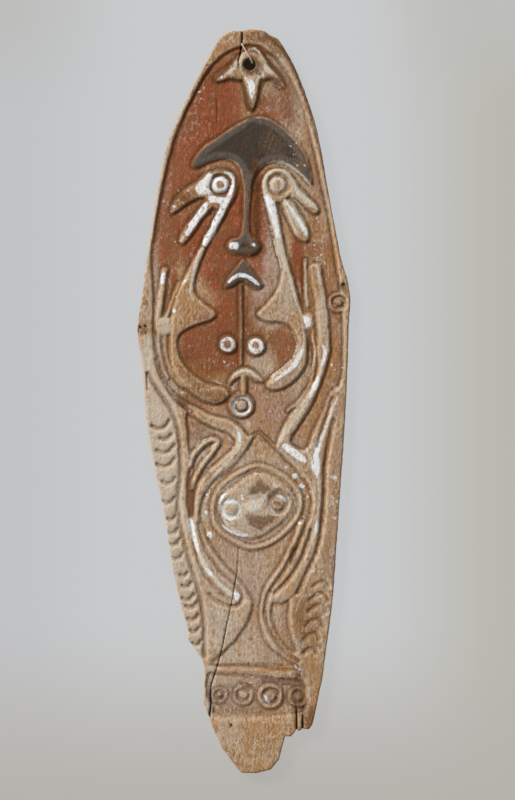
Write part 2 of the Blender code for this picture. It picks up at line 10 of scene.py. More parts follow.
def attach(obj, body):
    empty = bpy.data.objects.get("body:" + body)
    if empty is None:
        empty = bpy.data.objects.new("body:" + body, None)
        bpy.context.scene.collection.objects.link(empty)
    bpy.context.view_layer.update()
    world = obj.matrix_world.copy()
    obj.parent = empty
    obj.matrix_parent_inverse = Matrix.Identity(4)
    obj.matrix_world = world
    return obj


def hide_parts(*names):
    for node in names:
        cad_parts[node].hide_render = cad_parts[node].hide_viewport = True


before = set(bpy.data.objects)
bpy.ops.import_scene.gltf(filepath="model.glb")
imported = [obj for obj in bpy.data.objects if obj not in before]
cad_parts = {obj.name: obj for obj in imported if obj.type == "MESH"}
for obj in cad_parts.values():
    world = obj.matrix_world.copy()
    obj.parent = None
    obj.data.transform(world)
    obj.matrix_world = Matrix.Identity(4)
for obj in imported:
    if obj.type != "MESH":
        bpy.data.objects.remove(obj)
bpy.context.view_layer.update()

# A gope board: the carved and painted board and its hanging cord in fine detail, lying face up on a
# pale floor. Lengths are in metres, and in drawing units where a comment says so. Places on the carved
# side are given on a drawing of the board, whose x runs to the right and whose y runs down, and
# place() turns them into metres. The half widths and radii of forms and strokes are in drawing units.

# The board's sizes
BOARD_LENGTH = 1.100
EDGE_THICKNESS = 0.012
CROWN = 0.007
END_THINNING = 0.004
RELIEF = 0.003
HOLE_DIAMETER = 0.0175
HOLE_SIDES = 44
HOLLOW_DEPTH = 0.008
HOLLOW_MARGIN = 0.009
HOLLOW_RAMP = 0.048
ADZE_DEPTH = 0.0009
WALL_WAVE = 0.0003

# The drawing: its unit, the top and foot of the board on it, and the board's middle line
DRAWING_TOP = 29.4
DRAWING_FOOT = 773.4
DRAWING_MIDDLE_X = 243.9
UNIT = BOARD_LENGTH / (DRAWING_FOOT - DRAWING_TOP)
HALF_WIDTH = 106.4 * UNIT
HOLE_CENTRE = (249.6, 64.6)

# The cord and its knot: thickness, points along them, how finely the cord's curve is followed, and
# the strands' pitch, how far out they wind and how thick they are, in shares of the cord's radius
CORD_DIAMETER = 0.0022
CORD_POINTS = 170
CORD_CURVE_STEP = 0.0005
CORD_PITCH = 0.0062
CORD_WIND = 0.52
STRAND_SHARE = 0.5
KNOT_POINTS = 90
KNOT_PLACE = (247.8, 53.4)
KNOT_HEIGHT = 0.0038
KNOT_SIZE = 0.00075
KNOT_PITCH = 0.005
KNOT_WIND = 0.42

# The picture's frame, which the drawing fills unit for pixel, and the camera's height
PICTURE = (515, 800)
CAMERA_HEIGHT = 6.0
FACE_HEIGHT = 0.016

# Rounding of the carved forms, in drawing units: how far in they reach their full height, the small
# cut along their foot, and how much worn passages lose of their height and steepness
RISE = 3.7
RISE_POWER = 2.4
WALL_LINE = 1.1
TOE_PLACE = 1.0
TOE_WIDTH = 1.6
TOE_DEPTH = 0.0009
CUT_NARROWING = 0.72
EDGE_ROUND = 1.7
SOFT_LOSS = 0.6
SOFT_SPREAD = 0.5
RING_LINE_HALF_WIDTH = 1.2

# Unevenness of the carved lines and of the outline, in drawing units, more so at the worn foot and
# less so in the splits, which are given as (middle, half width, top, foot)
FORM_SHAKE = 0.4
FORM_FINE_SHAKE = 0.25
FOOT_SHAKE = 0.5
FOOT_WEAR_FROM = 655
FOOT_WEAR_OVER = 20
OUTLINE_WEAR = 0.22
SPLIT_WEAR = 0.08
SPLIT_AREAS = [(242, 3, 0, 53), (299, 6, 700, 800)]

# Low waves over the carved side: height in metres, cell size on the drawing, and seed
FACE_WAVES = [(0.00012, 2.2, 30, 21), (0.0001, 1.6, 9, 22), (0.00022, 9, 14, 23), (0.00014, 4, 6, 25)]

# Unevenness of the paint's edges, the crumbs' radius, and the black round the breasts
LIME_SHAKE = 0.5
WASH_SHAKE = 0.3
CRUMB_RADIUS = (0.3, 1.1)
BREAST_SOOT_WIDTH = 2.4
# How far the painted shade band down the brow takes the black further in
SHADE_BAND_DEEPENING = 4.0
WOOD_BUMP = 0.0013
FIBRE_BUMP = 0.0002

# Working grid and mesh spacing, in drawing units: the steps, how far single points stray, and the
# room left between them and the outline, the rim's lines and the forms' lines
GRID_STEP = 0.75
GRID_X = (132.0, 356.0)
GRID_Y = (24.0, 779.0)
REACH = 6.0
LINE_STEP = 1.5
OUTLINE_STEP = 1.5
WHOLE_OUTLINE_STEP = 18.0
CARVING_STEP = 4.0
WALL_ROWS = 4
LOOSE_ROW_SHARE = 0.87
FACE_STEP = 1.45
FACE_JITTER = 0.12
FACE_MARGIN = 1.0
FORM_LINE_MARGIN = 0.8
FORM_LINE_GAP = 0.5
RIM_LINE = 0.55
RIM_LINE_GAP = 0.45
OUTLINE_CLEARANCE = 0.3
BACK_STEP = 5.0
BACK_JITTER = 0.8
BACK_MARGIN = 3.0
BACK_RIM_LINE = 0.8
BACK_LINE_MARGIN = 0.6

# Light, and the floor: its size, height and colours, with painted shading that darkens it towards the
# sides and the foot, the radius of the painted shadow below the hole, and the painted shadow below the
# splits as (x, y, half width, half height)
KEY_ENERGY = 4.1
KEY_ANGLE = 18
KEY_DIRECTION = (0.64, -0.58, -0.56)
FILL_STRENGTH = 0.31
FLOOR_REACH = 8.0
FLOOR_HEIGHT = -0.0002
FLOOR_BASE = (58, 58, 59)
FLOOR_MIDDLE = (194, 195, 196)
FLOOR_LEFT = (187, 188, 190)
FLOOR_RIGHT = (178, 176, 165)
FLOOR_FOOT = (174, 171, 164)
FLOOR_CORNER = (182, 182, 179)
HOLE_SHADE = 33.5
SPLIT_SHADES = [(242, 39, 2.2, 8.9), (296.4, 714, 2.6, 16.4), (302.6, 717, 2.2, 12.6)]

# Outline of the board, clockwise from the top: smooth flanks, and the broken foot point by point
TOP_SPLIT = [(241.2, 31.1), (241.1, 40.0), (240.8, 46.0), (241.2, 50.5), (242.4, 46.5), (242.9, 40.0), (243.0, 30.7)]
TOP_RIGHT = [(250, 29.4), (257, 29.9), (264.5, 30.8), (270, 35), (278, 38.8), (283, 46)]
RIGHT_FLANK = [
    (292, 61.5), (302, 84), (311, 109.5), (317, 130), (323, 160), (328, 190), (335.5, 230), (341.5, 260), (347.5, 280),
    (350.3, 300), (348.6, 330), (347.5, 370), (345, 420), (341, 480), (336.5, 545), (331.5, 610), (322, 680)]
RIGHT_BREAK = [
    (312.5, 724.5), (309, 729.4), (303.8, 729.3), (303.4, 715), (302.2, 715), (301.4, 730), (297.8, 731), (297.2, 709),
    (296, 709), (295.8, 730.6), (291, 736.5), (285, 736.2)]
TANG = [
    (282, 747), (279, 760), (270.5, 769.5), (256, 773.2), (241, 772.5), (232, 761.5), (222, 747.5), (214, 730),
    (209, 716)]
LEFT_BREAK = [(204, 704), (203.8, 680), (205, 668), (202, 659), (195, 648), (188.5, 640), (187.5, 629), (182.5, 611)]
LEFT_FLANK = [
    (178.5, 595), (171.5, 560), (163.5, 510), (155, 470), (146.5, 420), (142.5, 370), (137.5, 330), (141.5, 300),
    (146.5, 260), (153, 220), (161.5, 170), (172.5, 130), (191.5, 90), (207.5, 60), (217, 42)]
TOP_LEFT = [(221.5, 37), (228, 32.5), (234, 31)]

# Sunk fields, as closed lines
SUNK_FIELDS = {
    "face": [
        (243, 46), (228, 52), (212, 66), (200, 85), (187, 110), (174.5, 140), (165.5, 174), (159.5, 204), (153, 242),
        (151.5, 262), (153.5, 300), (153.5, 340), (157, 362), (163, 378), (172, 391), (184, 400.5), (197, 407),
        (212, 415), (229, 419), (242, 428), (248.5, 436), (253, 435), (259, 431.5), (266, 437), (275, 446), (278, 438),
        (288, 418), (303, 398), (314, 380), (318, 365), (317, 345), (330, 345), (328.5, 360), (322, 382), (313, 403),
        (301, 423), (292, 436), (292, 444), (301, 449.5), (308, 446), (314, 430), (324, 409), (331, 391), (338, 386),
        (342, 372), (343, 340), (342.5, 318), (337, 268), (328.5, 217), (320.5, 178), (310.5, 135), (302.5, 104),
        (290, 79.5), (279, 61.5), (267, 51), (254, 45)],
    "left knee": [
        (187, 414), (200, 421), (214, 428), (229, 433.5), (235, 441), (232, 449), (218, 462), (206, 473), (198, 485),
        (194.5, 500), (193.5, 516), (189.5, 516), (187, 498), (187.5, 484), (190.5, 462), (188, 440)],
    "lower": [
        (259, 432), (275, 448), (299, 473), (309, 487), (312, 500), (309, 516), (299, 522), (290, 545), (278, 567),
        (265, 587), (259.8, 607), (262, 632), (274, 650), (299, 668), (281, 669.8), (262, 668), (238, 666.4),
        (211, 665), (225, 650), (240, 634), (250.5, 614), (251.5, 599), (240, 581), (226, 566), (213, 549), (204, 532),
        (199.5, 516), (203, 498), (212, 483), (226, 472), (240, 459), (252, 441)],
    "right foot": [
        (273, 603), (282, 604), (289.5, 601), (288.5, 613), (289, 626), (293, 642), (296.5, 652), (289, 650),
        (280, 640), (273.5, 627), (271, 614)],
    "foot panel": [
        (207, 676), (216, 673), (250, 675.5), (280, 678.5), (299, 680.5), (305, 686), (306, 700), (303, 712),
        (288, 714.5), (270, 716.5), (240, 716.5), (216, 715.5), (213, 707), (208, 696)]}

# Raised forms standing in the sunk fields, as closed lines
RAISED_FORMS = {
    "brow and nose": [
        (191, 164), (200, 150), (213, 140), (226, 131), (243, 121), (260, 116.5), (274, 121), (289, 133), (302, 148),
        (309, 163), (312, 185), (304, 178.5), (294, 169), (282, 163), (271, 163), (262, 168), (255, 178), (251, 195),
        (250, 232), (257, 238.5), (261.5, 247), (256, 254.5), (248, 256.5), (241, 255), (232, 254), (226.5, 247),
        (231, 239), (241, 234), (243, 205), (242.5, 183), (237, 165), (223, 159.5), (209, 163), (197, 169)],
    "mouth": [
        (243, 258.5), (249, 267), (257, 277), (262.5, 286.5), (255, 289), (243, 281.5), (231, 287.5), (223.5, 288),
        (229, 276), (237, 266)],
    "lower mouth": [
        (228, 386), (231, 375), (243, 367.5), (254, 370.5), (264, 381), (257, 382.5), (245, 376.5), (236, 380)],
    "left arm": [
        (219, 205), (212, 223), (203, 241), (192, 261), (183, 279), (176.5, 292), (172.5, 306), (170.5, 318),
        (169.5, 330), (169.5, 350), (171.5, 366), (180, 383), (195, 396), (210, 404), (223, 402.5), (230, 394),
        (225, 386.5), (209, 384), (192, 373), (181, 358), (178, 344), (181, 334), (196, 326), (212, 320), (217, 313),
        (206, 304.5), (195.5, 294), (196, 277), (206, 250), (223, 220), (235, 198), (237, 184)],
    "left first finger": [
        (212, 171), (196, 181), (183, 190.5), (172, 203), (171, 215), (185, 206.5), (198, 199), (211, 196)],
    "left second finger": [(206, 200), (191, 218.5), (179, 235.5), (181.5, 245), (190, 238.5), (203, 220), (213, 206)],
    "right arm": [
        (263, 184), (265, 198), (270, 220), (276.5, 251), (281, 268), (278, 287), (266, 304), (256.5, 314.5),
        (266, 321.5), (285, 323.5), (294, 332), (297, 347), (289.5, 362), (271, 376.5), (266, 386), (275, 391),
        (292, 383.5), (305, 367), (307.5, 348), (305.5, 328), (303, 312), (295, 283), (286, 250), (279, 213),
        (277, 203), (281, 203), (292, 187)],
    "right first finger": [(287, 172), (301, 188), (315, 203), (320, 211), (314, 214), (303, 205.5), (289, 194)],
    "right second finger": [(281, 203), (292, 230), (301, 241.5), (309, 240.5), (308.5, 228), (299, 210), (290, 199)],
    "left wrist": [(156.5, 320), (170, 318), (171, 334), (157.5, 335)],
    "right wrist": [(303, 314), (314, 314), (314, 328), (305, 330)],
    "tail": [(243, 74), (244.5, 88), (247.5, 104), (252, 111.5), (256.5, 104), (259.5, 88), (262, 74)],
    "left wing": [(240, 55), (229, 65), (214.5, 75.5), (216.5, 83), (229, 79.5), (243, 80)],
    "right wing": [(259, 50), (268, 63), (281, 79), (287, 86), (280, 89), (271, 79.5), (261, 79)],
    "oval inside": [
        (258, 473), (236, 484), (221, 497), (220, 514), (230, 529), (253, 538.5), (276, 527), (291, 512), (293.5, 498),
        (282, 481)],
    "left palm": [
        (204, 192), (212, 190), (222, 192), (233, 188), (233, 198), (228, 208), (221, 212), (212, 208), (206, 203)]}

# Raised bands: middle line and half width
RAISED_BANDS = {
    "centre rib": ([(241, 286), (241.2, 364)], 2.1),
    "rod": ([(243.6, 376), (243.6, 394)], 3.6),
    "left finger band": ([(165, 270), (162, 290), (159, 310), (158.6, 324)], 3.6),
    "left inner finger": ([(179, 284), (173.5, 297), (169, 311), (164.5, 322)], 2.2),
    "left outer ridge": ([(159, 335), (159.5, 350), (162.5, 364), (168, 378)], 1.9),
    "left inner ridge": ([(165, 335), (166.2, 352), (169, 365), (175, 378), (183, 387)], 1.8),
    "right finger band": ([(315.6, 269), (317.6, 284), (320.6, 301), (322.8, 321), (324, 345)], 6.2),
    "right finger ridge": ([(305.6, 261), (306, 285), (307.4, 306)], 2.3),
    "right inner ridge": ([(312.6, 330), (315.5, 355), (312, 380), (301, 399), (288, 411)], 1.7),
    "left hook": (
        [(190, 466), (193, 456), (203, 445), (213, 439.5), (218.5, 442), (214, 450.5), (204, 463), (196, 477),
         (192.5, 488)], 2.9)}

# The oval medallion's rim: its middle line, closed, and its half width
OVAL_RIM = (
    [(259, 466), (245, 470), (230, 479), (218, 491), (213.5, 505), (214.5, 520), (221, 532), (236, 542), (253, 547.5),
     (271, 542), (287, 530), (298, 515), (301, 501), (295, 487), (280, 474)], 2.8)

# Raised discs: centre, outer radius, and the radius of the ring line cut into it
BREASTS = [((228, 344.6), 9.8, None), ((256, 346.2), 9.8, None)]
# The eyes, the breasts, the navel, the oval's eyes, the rings at the edge and foot, the hole's rim
DISCS = [
    ((221, 185), 16.2, 9.2), ((278.2, 184.6), 16.2, 9.2), *BREASTS, ((241.6, 405.4), 13.0, 7.2),
    ((230.5, 508.5), 12.2, 8.4), ((278, 503.5), 13.2, 8.6), ((339, 302.6), 10.6, 5.6), ((219.5, 695), 8.2, 4.6),
    ((243.5, 695), 10.6, 5.6), ((270.5, 696), 13.0, 7.0), ((298.5, 697), 10.4, 5.6), ((251, 65), 14.2, None)]

# Cut lines in the standing surface: middle line and half width
CUT_LINES = [
    ([(155.5, 360), (163.5, 381), (176.5, 400), (192, 413)], 1.5),
    ([(148, 374), (160, 394), (173, 414), (179, 436), (180.5, 470), (178.2, 508), (185.2, 546), (195.2, 580),
     (203, 613), (204.8, 657)], 1.7), ([(190.5, 518), (196, 551), (205, 575), (219, 590), (230, 600.5)], 1.1),
    ([(198.5, 524), (205.5, 549), (220.5, 571), (238.5, 588), (242.8, 598), (235, 606.5), (219, 602), (209, 594)],
     1.3), ([(334, 420), (325.5, 458), (324, 490), (322.5, 515), (318, 545), (306, 575), (298, 592)], 1.7),
    ([(310, 514), (298.5, 543), (284, 571), (267.5, 597), (266.6, 622), (281.5, 648), (298, 661)], 1.7),
    ([(311, 530), (303, 555), (290, 577), (275, 593)], 1.6), ([(333, 398), (323, 428), (317.5, 447)], 1.2)]

# Scallops down the left strip, each a shallow cup that rises further on its right side, and chevrons
# down the right strip, each a low roof whose left side runs further down. The shape is in shares of
# half the width across and of the width down. A row gives its lowest place or its peak, and its width.
SCALLOP = [(-1, -0.16), (-0.3, 0), (0.45, -0.12), (1, -0.5)]
SCALLOP_HALF_WIDTH = 1.15
SCALLOPS = [
    (161, 429, 17), (166, 440, 11), (166, 453, 17), (166, 467, 17), (169, 484, 13), (169, 503, 12), (172, 520, 8),
    (173, 534, 11), (174, 545, 12), (177, 559, 12), (184, 576, 7), (187, 587, 9), (188, 600, 12), (192, 608, 11),
    (193, 620, 10), (195, 632, 9), (197, 645, 8)]
CHEVRON = [(-1, 0.35), (-0.35, 0.08), (0.3, 0), (0.75, 0.35)]
CHEVRON_HALF_WIDTH = 1.2
CHEVRONS = [(321, 581, 17), (320, 593, 21), (318, 605, 20), (316, 619, 19), (313, 633, 17), (311, 648, 15)]

# The hanging cord's route: place on the drawing, and height in metres. It is tied behind the board,
# comes up through the split, crosses the face and goes down the hole.
CORD_ROUTE = [
    (247.6, 52.6, 0.003), (245.0, 50.2, 0.0026), (242.9, 47.2, 0.002), (241.9, 44.9, 0.0034), (241.7, 44.1, 0.0075),
    (241.7, 43.9, 0.012), (241.7, 44.0, 0.0165), (242.1, 44.9, 0.0198), (243.6, 47.4, 0.0207), (246.0, 51.4, 0.0207),
    (248.6, 55.8, 0.0206), (250.6, 59.2, 0.0202), (252.0, 61.6, 0.018), (252.4, 62.6, 0.014), (252.2, 62.4, 0.0095),
    (251.0, 60.9, 0.0058), (249.2, 57.9, 0.0045), (247.9, 54.6, 0.0048)]

# Fine cuts and cracks: depth in metres, and smooth line of (x, y, half width)
FINE_CUTS = [
    (0.004, [(240.8, 47, 0.9), (240.6, 52, 0.7), (239, 58, 0.5), (238.2, 63, 0.45), (238.8, 68, 0.2)]),
    (0.003, [(237, 574, 0.1), (235.6, 580, 0.2), (234, 590, 0.25), (231, 606, 0.2), (227, 624, 0.2), (223, 644, 0.25),
     (219, 660, 0.25), (215.4, 672, 0.35), (211.3, 684, 0.5)]),
    (0.0012, [(238.4, 548, 0.1), (238, 562, 0.15), (237, 574, 0.15)]),
    (0.004, [(211.3, 684, 0.5), (210.6, 695, 0.7), (211, 703, 0.9), (210.4, 710, 1.0), (209.4, 716, 1.1)]),
    (0.0016, [(217, 98, 0.3), (217.4, 108, 0.7), (217, 117, 0.8), (217.2, 123, 0.3)]),
    (0.002, [(146.4, 373, 0.5), (147, 381, 0.8), (147.2, 391, 0.4)]), (0.0012, [(240, 755, 0.4), (238.5, 765, 0.5)]),
    (0.0014, [(228, 719, 0.6), (229, 722, 1.2), (231, 727, 1.2), (230, 725, 0.6)]),
    (0.0011, [(284, 602.6, 0.6), (289, 599.6, 1.2), (293.4, 596, 1.3), (297, 592.4, 1.0)]),
    (0.0012, [(262, 286.5, 0.4), (268, 286, 0.4)]),
    (0.0013, [(291, 193, 0.5), (297, 200, 1.3), (302, 206, 1.0), (305, 209, 0.4)]),
    (0.001, [(265.5, 207, 0.5), (269, 224, 0.9), (273.5, 243, 0.9), (277.5, 258, 0.6)]),
    (0.0018, [(299.8, 673.4, 0.8), (299.6, 676, 1.4), (299.8, 678.4, 0.7)]),
    (0.0012, [(296.8, 688, 0.3), (296, 698, 0.6), (296.4, 709, 0.6)]),
    (0.001, [(303.4, 706, 0.3), (302.8, 711, 0.5), (302.6, 716, 0.5)]),
    (0.0016, [(209.5, 211.5, 0.5), (211, 214, 1.4), (210, 217, 0.8)]),
    (0.0014, [(183, 393.5, 0.6), (186.5, 397, 1.7), (190, 401, 0.6)]),
    (0.0016, [(179, 403, 0.6), (183, 406.5, 1.8), (187, 411.5, 0.6)]),
    (0.0012, [(203, 479, 0.5), (206, 476, 1.4), (209, 472, 0.5)]),
    (0.0015, [(292, 560, 0.8), (291, 563, 1.5), (290, 566, 0.6)]),
    (0.0015, [(298, 545, 0.6), (296.4, 549, 1.3), (295.4, 553, 0.5)])]

# Pits and insect holes: (x, y, radius, depth in metres)
PITS = [
    (140, 327, 2.2, 0.003), (145.5, 326, 2.0, 0.003), (138.5, 331, 1.5, 0.002), (146, 333.5, 1.2, 0.002),
    (343.2, 284.5, 2.4, 0.003), (343, 288, 1.4, 0.0022), (231.5, 725, 1.7, 0.003), (224, 738.5, 1.2, 0.0022),
    (229.5, 720.5, 1.0, 0.002), (236, 200, 0.9, 0.0015), (215.5, 298.5, 0.8, 0.001), (212, 214, 1.2, 0.002),
    (277.5, 191, 1.4, 0.0012), (303.8, 233, 1.4, 0.0015), (223, 696, 1.5, 0.0018), (301.5, 186, 1.5, 0.0012),
    (251, 547, 0.8, 0.0012), (334.4, 478, 0.8, 0.001), (219.5, 483, 1.0, 0.001), (307, 376.5, 0.8, 0.001)]

# Thick white lime, as smooth lines of (x, y, half width), closed patches, rings of (x, y, radius,
# half width), spots of (x, y, radius) and areas strewn with crumbs: (x, y, half width, half height,
# number of crumbs)
LIME_LINES = [
    [(225, 173, 1.2), (229, 173, 1.6), (232.2, 177, 1.9), (233.2, 182, 1.9), (232, 188, 2.1), (230, 194, 2.2),
     (228, 199, 2.6)],
    [(224.6, 203, 3.0), (222.4, 208.6, 3.2), (219.6, 215, 3.5), (216, 222.6, 3.5), (213, 230, 3.5), (208.4, 238, 3.9),
     (205, 244, 2.6)], [(163.6, 273.6, 1.9), (163, 278, 2.5), (162.4, 282.6, 2.1)],
    [(229, 282.5, 1.2), (232.6, 278.6, 1.8), (237.5, 275.8, 1.8), (243, 275.2, 2.0), (248.5, 277, 2.0),
     (253.5, 280.4, 1.8), (258.6, 284.8, 1.4)],
    [(266.8, 197, 2.6), (270, 203, 4.0), (272.6, 210, 3.9), (274.8, 219, 3.1), (277, 229, 2.6), (279, 238, 1.8)],
    [(286.4, 202, 0.9), (290.6, 208.4, 1.5), (295.6, 215.4, 1.6), (300, 221.6, 1.9), (304, 228.6, 2.2),
     (306.6, 234, 1.6)],
    [(302, 350, 1.8), (297.4, 360.6, 2.3), (291, 368.4, 2.3), (283, 374.6, 1.9), (275.6, 380, 1.4)],
    [(322.4, 345, 1.0), (325, 350, 1.9), (324.2, 358, 1.9), (321.4, 366, 1.3)],
    [(318.4, 378, 1.6), (315.6, 385, 2.5), (312.6, 391.6, 2.3), (309.6, 397, 1.5)],
    [(284.6, 446, 2.8), (290, 450, 3.7), (296.4, 454.4, 3.9), (303.8, 460, 3.1)],
    [(312, 463.6, 1.9), (314.8, 469.6, 2.4), (317.6, 477, 1.6)],
    [(321, 436, 1.6), (318.4, 444, 2.6), (316.6, 453, 3.0), (316.8, 463, 3.0), (318.6, 473, 1.8)],
    [(238.2, 431.6, 1.2), (239.6, 436, 1.9), (239.6, 441, 1.5)],
    [(190.4, 520.4, 2.9), (191.4, 526, 3.0), (193.2, 534, 2.8), (195.6, 543, 2.3), (197.8, 551, 1.5)],
    [(224, 503.6, 1.2), (228, 500.8, 2.4), (233, 500.6, 2.6), (237, 503.4, 1.4)],
    [(219.4, 503, 1.0), (221, 498.6, 1.4), (224, 495, 1.4), (227, 493.2, 0.8)],
    [(222.6, 506, 1.0), (222.6, 511, 1.5), (225.6, 516, 2.2), (230, 518.6, 2.2), (235, 517, 1.4)],
    [(253.6, 501.6, 0.9), (255.6, 504.6, 1.3), (255, 508, 0.8)],
    [(276, 495.6, 0.8), (280, 496.2, 1.4), (283.4, 498.4, 1.3), (284.6, 501.6, 0.9)],
    [(222, 524.6, 0.8), (228, 529.6, 1.4), (234, 532.6, 1.6), (241, 535, 1.7), (248, 535.6, 1.0)],
    [(206, 568, 1.6), (209.4, 572.4, 2.1), (212.4, 576, 1.3)],
    [(234.6, 592.6, 1.8), (237.6, 595.8, 2.9), (236.6, 599, 2.0)],
    [(316.8, 522, 1.2), (316.2, 529, 1.8), (315.8, 535, 1.0)],
    [(265, 694.5, 0.9), (265.6, 698.5, 1.7), (268.6, 702, 1.2)],
    [(294, 665.6, 0.8), (297.6, 668.4, 1.4), (302, 670, 0.8)]]
LIME_PATCHES = [
    [(303, 317.4), (307, 316), (310.6, 317), (311.4, 322), (311.6, 326.4), (306.4, 326.8), (303.8, 322.4)],
    [(209, 172.5), (212.6, 175), (212.4, 179), (210.4, 184), (209, 187.4), (209.6, 190), (212, 192), (211.6, 194.6),
     (207, 193.6), (203, 195), (198, 194.2), (195.4, 189), (196, 186.4), (198.6, 182.4), (204, 178.4), (207.4, 174.4)],
    [(209, 195.4), (214, 195.8), (220, 197.8), (226, 197.6), (229, 200), (227.4, 206), (222, 205.4), (217, 203),
     (213, 202.8), (209.4, 204), (208.4, 199.4)],
    [(207.4, 202), (209, 205), (207.6, 209.4), (203, 216), (199, 221), (196, 226), (192, 230.4), (190, 234.6),
     (187, 236.6), (184.4, 234.4), (184.6, 232), (188, 228.4), (189, 224.4), (190.4, 221), (196, 214.4),
     (200.4, 207.6), (204.4, 203.4)],
    [(245, 77), (249, 78.4), (253, 80.4), (254.6, 83.6), (255.6, 87), (255, 91.6), (254, 96), (252.6, 100.4),
     (250.6, 99), (249.4, 93.6), (248, 88), (247.4, 83), (245, 80)],
    [(229.4, 243.6), (233, 242.2), (238, 242.6), (238.8, 246), (237, 249.6), (232, 249.4), (229, 247.6)]]
LIME_RINGS = [(220.2, 184.8, 6.3, 2.2), (227.8, 344.6, 5.6, 1.7), (256, 346, 5.7, 2.0), (241.6, 405.6, 8.4, 1.3)]
LIME_SPOTS = [
    (174, 206.6, 1.6), (188.6, 191, 1.0), (222, 77.4, 1.5), (177, 297, 1.1), (173.8, 307.6, 0.8), (174.2, 311.4, 1.9),
    (253.8, 245, 1.8), (206.4, 512.4, 1.8), (206.6, 494, 1.3), (209.4, 534.4, 3.0), (286, 467.4, 1.3), (295, 476, 2.8),
    (302, 486, 2.6), (307.6, 497, 1.3), (334.6, 477.4, 2.0), (327, 477, 1.0), (339, 476.6, 0.9), (224.4, 362, 1.4),
    (229, 364.6, 0.8), (232.6, 363, 0.8), (227.4, 366.6, 0.7), (209, 376.6, 0.7), (182.2, 393, 1.3), (190.2, 411, 1.4),
    (222.6, 465, 1.3), (222, 469, 0.8), (234, 484.6, 0.9), (246, 330, 0.9), (254, 441, 0.8), (300, 523, 1.9),
    (303.6, 517.4, 1.2), (233, 389, 0.9), (238, 392, 0.9), (252.6, 386.4, 1.0), (236, 401.6, 1.6), (245.4, 398.4, 1.3),
    (237.6, 414.4, 1.5), (222.4, 347.4, 1.5), (230, 338.4, 1.6), (259, 341, 1.5), (251.4, 350, 1.3),
    (185.4, 281.4, 1.5), (188.4, 277, 1.3), (241.6, 495, 1.6), (242.4, 498.2, 1.7)]
CRUMB_AREAS = [
    (333, 510, 7, 60, 46), (301, 492, 12, 40, 18), (208, 520, 6, 26, 12), (320, 600, 12, 42, 20),
    (250, 681, 44, 4, 18), (172, 215, 12, 46, 9), (298, 152, 13, 18, 16), (320, 245, 9, 30, 16),
    (222, 625, 14, 26, 14), (200, 70, 6, 30, 4), (262, 100, 20, 24, 8), (236, 505, 22, 22, 14), (160, 470, 10, 60, 14),
    (200, 460, 12, 30, 14), (262, 390, 26, 30, 12), (335, 370, 8, 50, 14)]

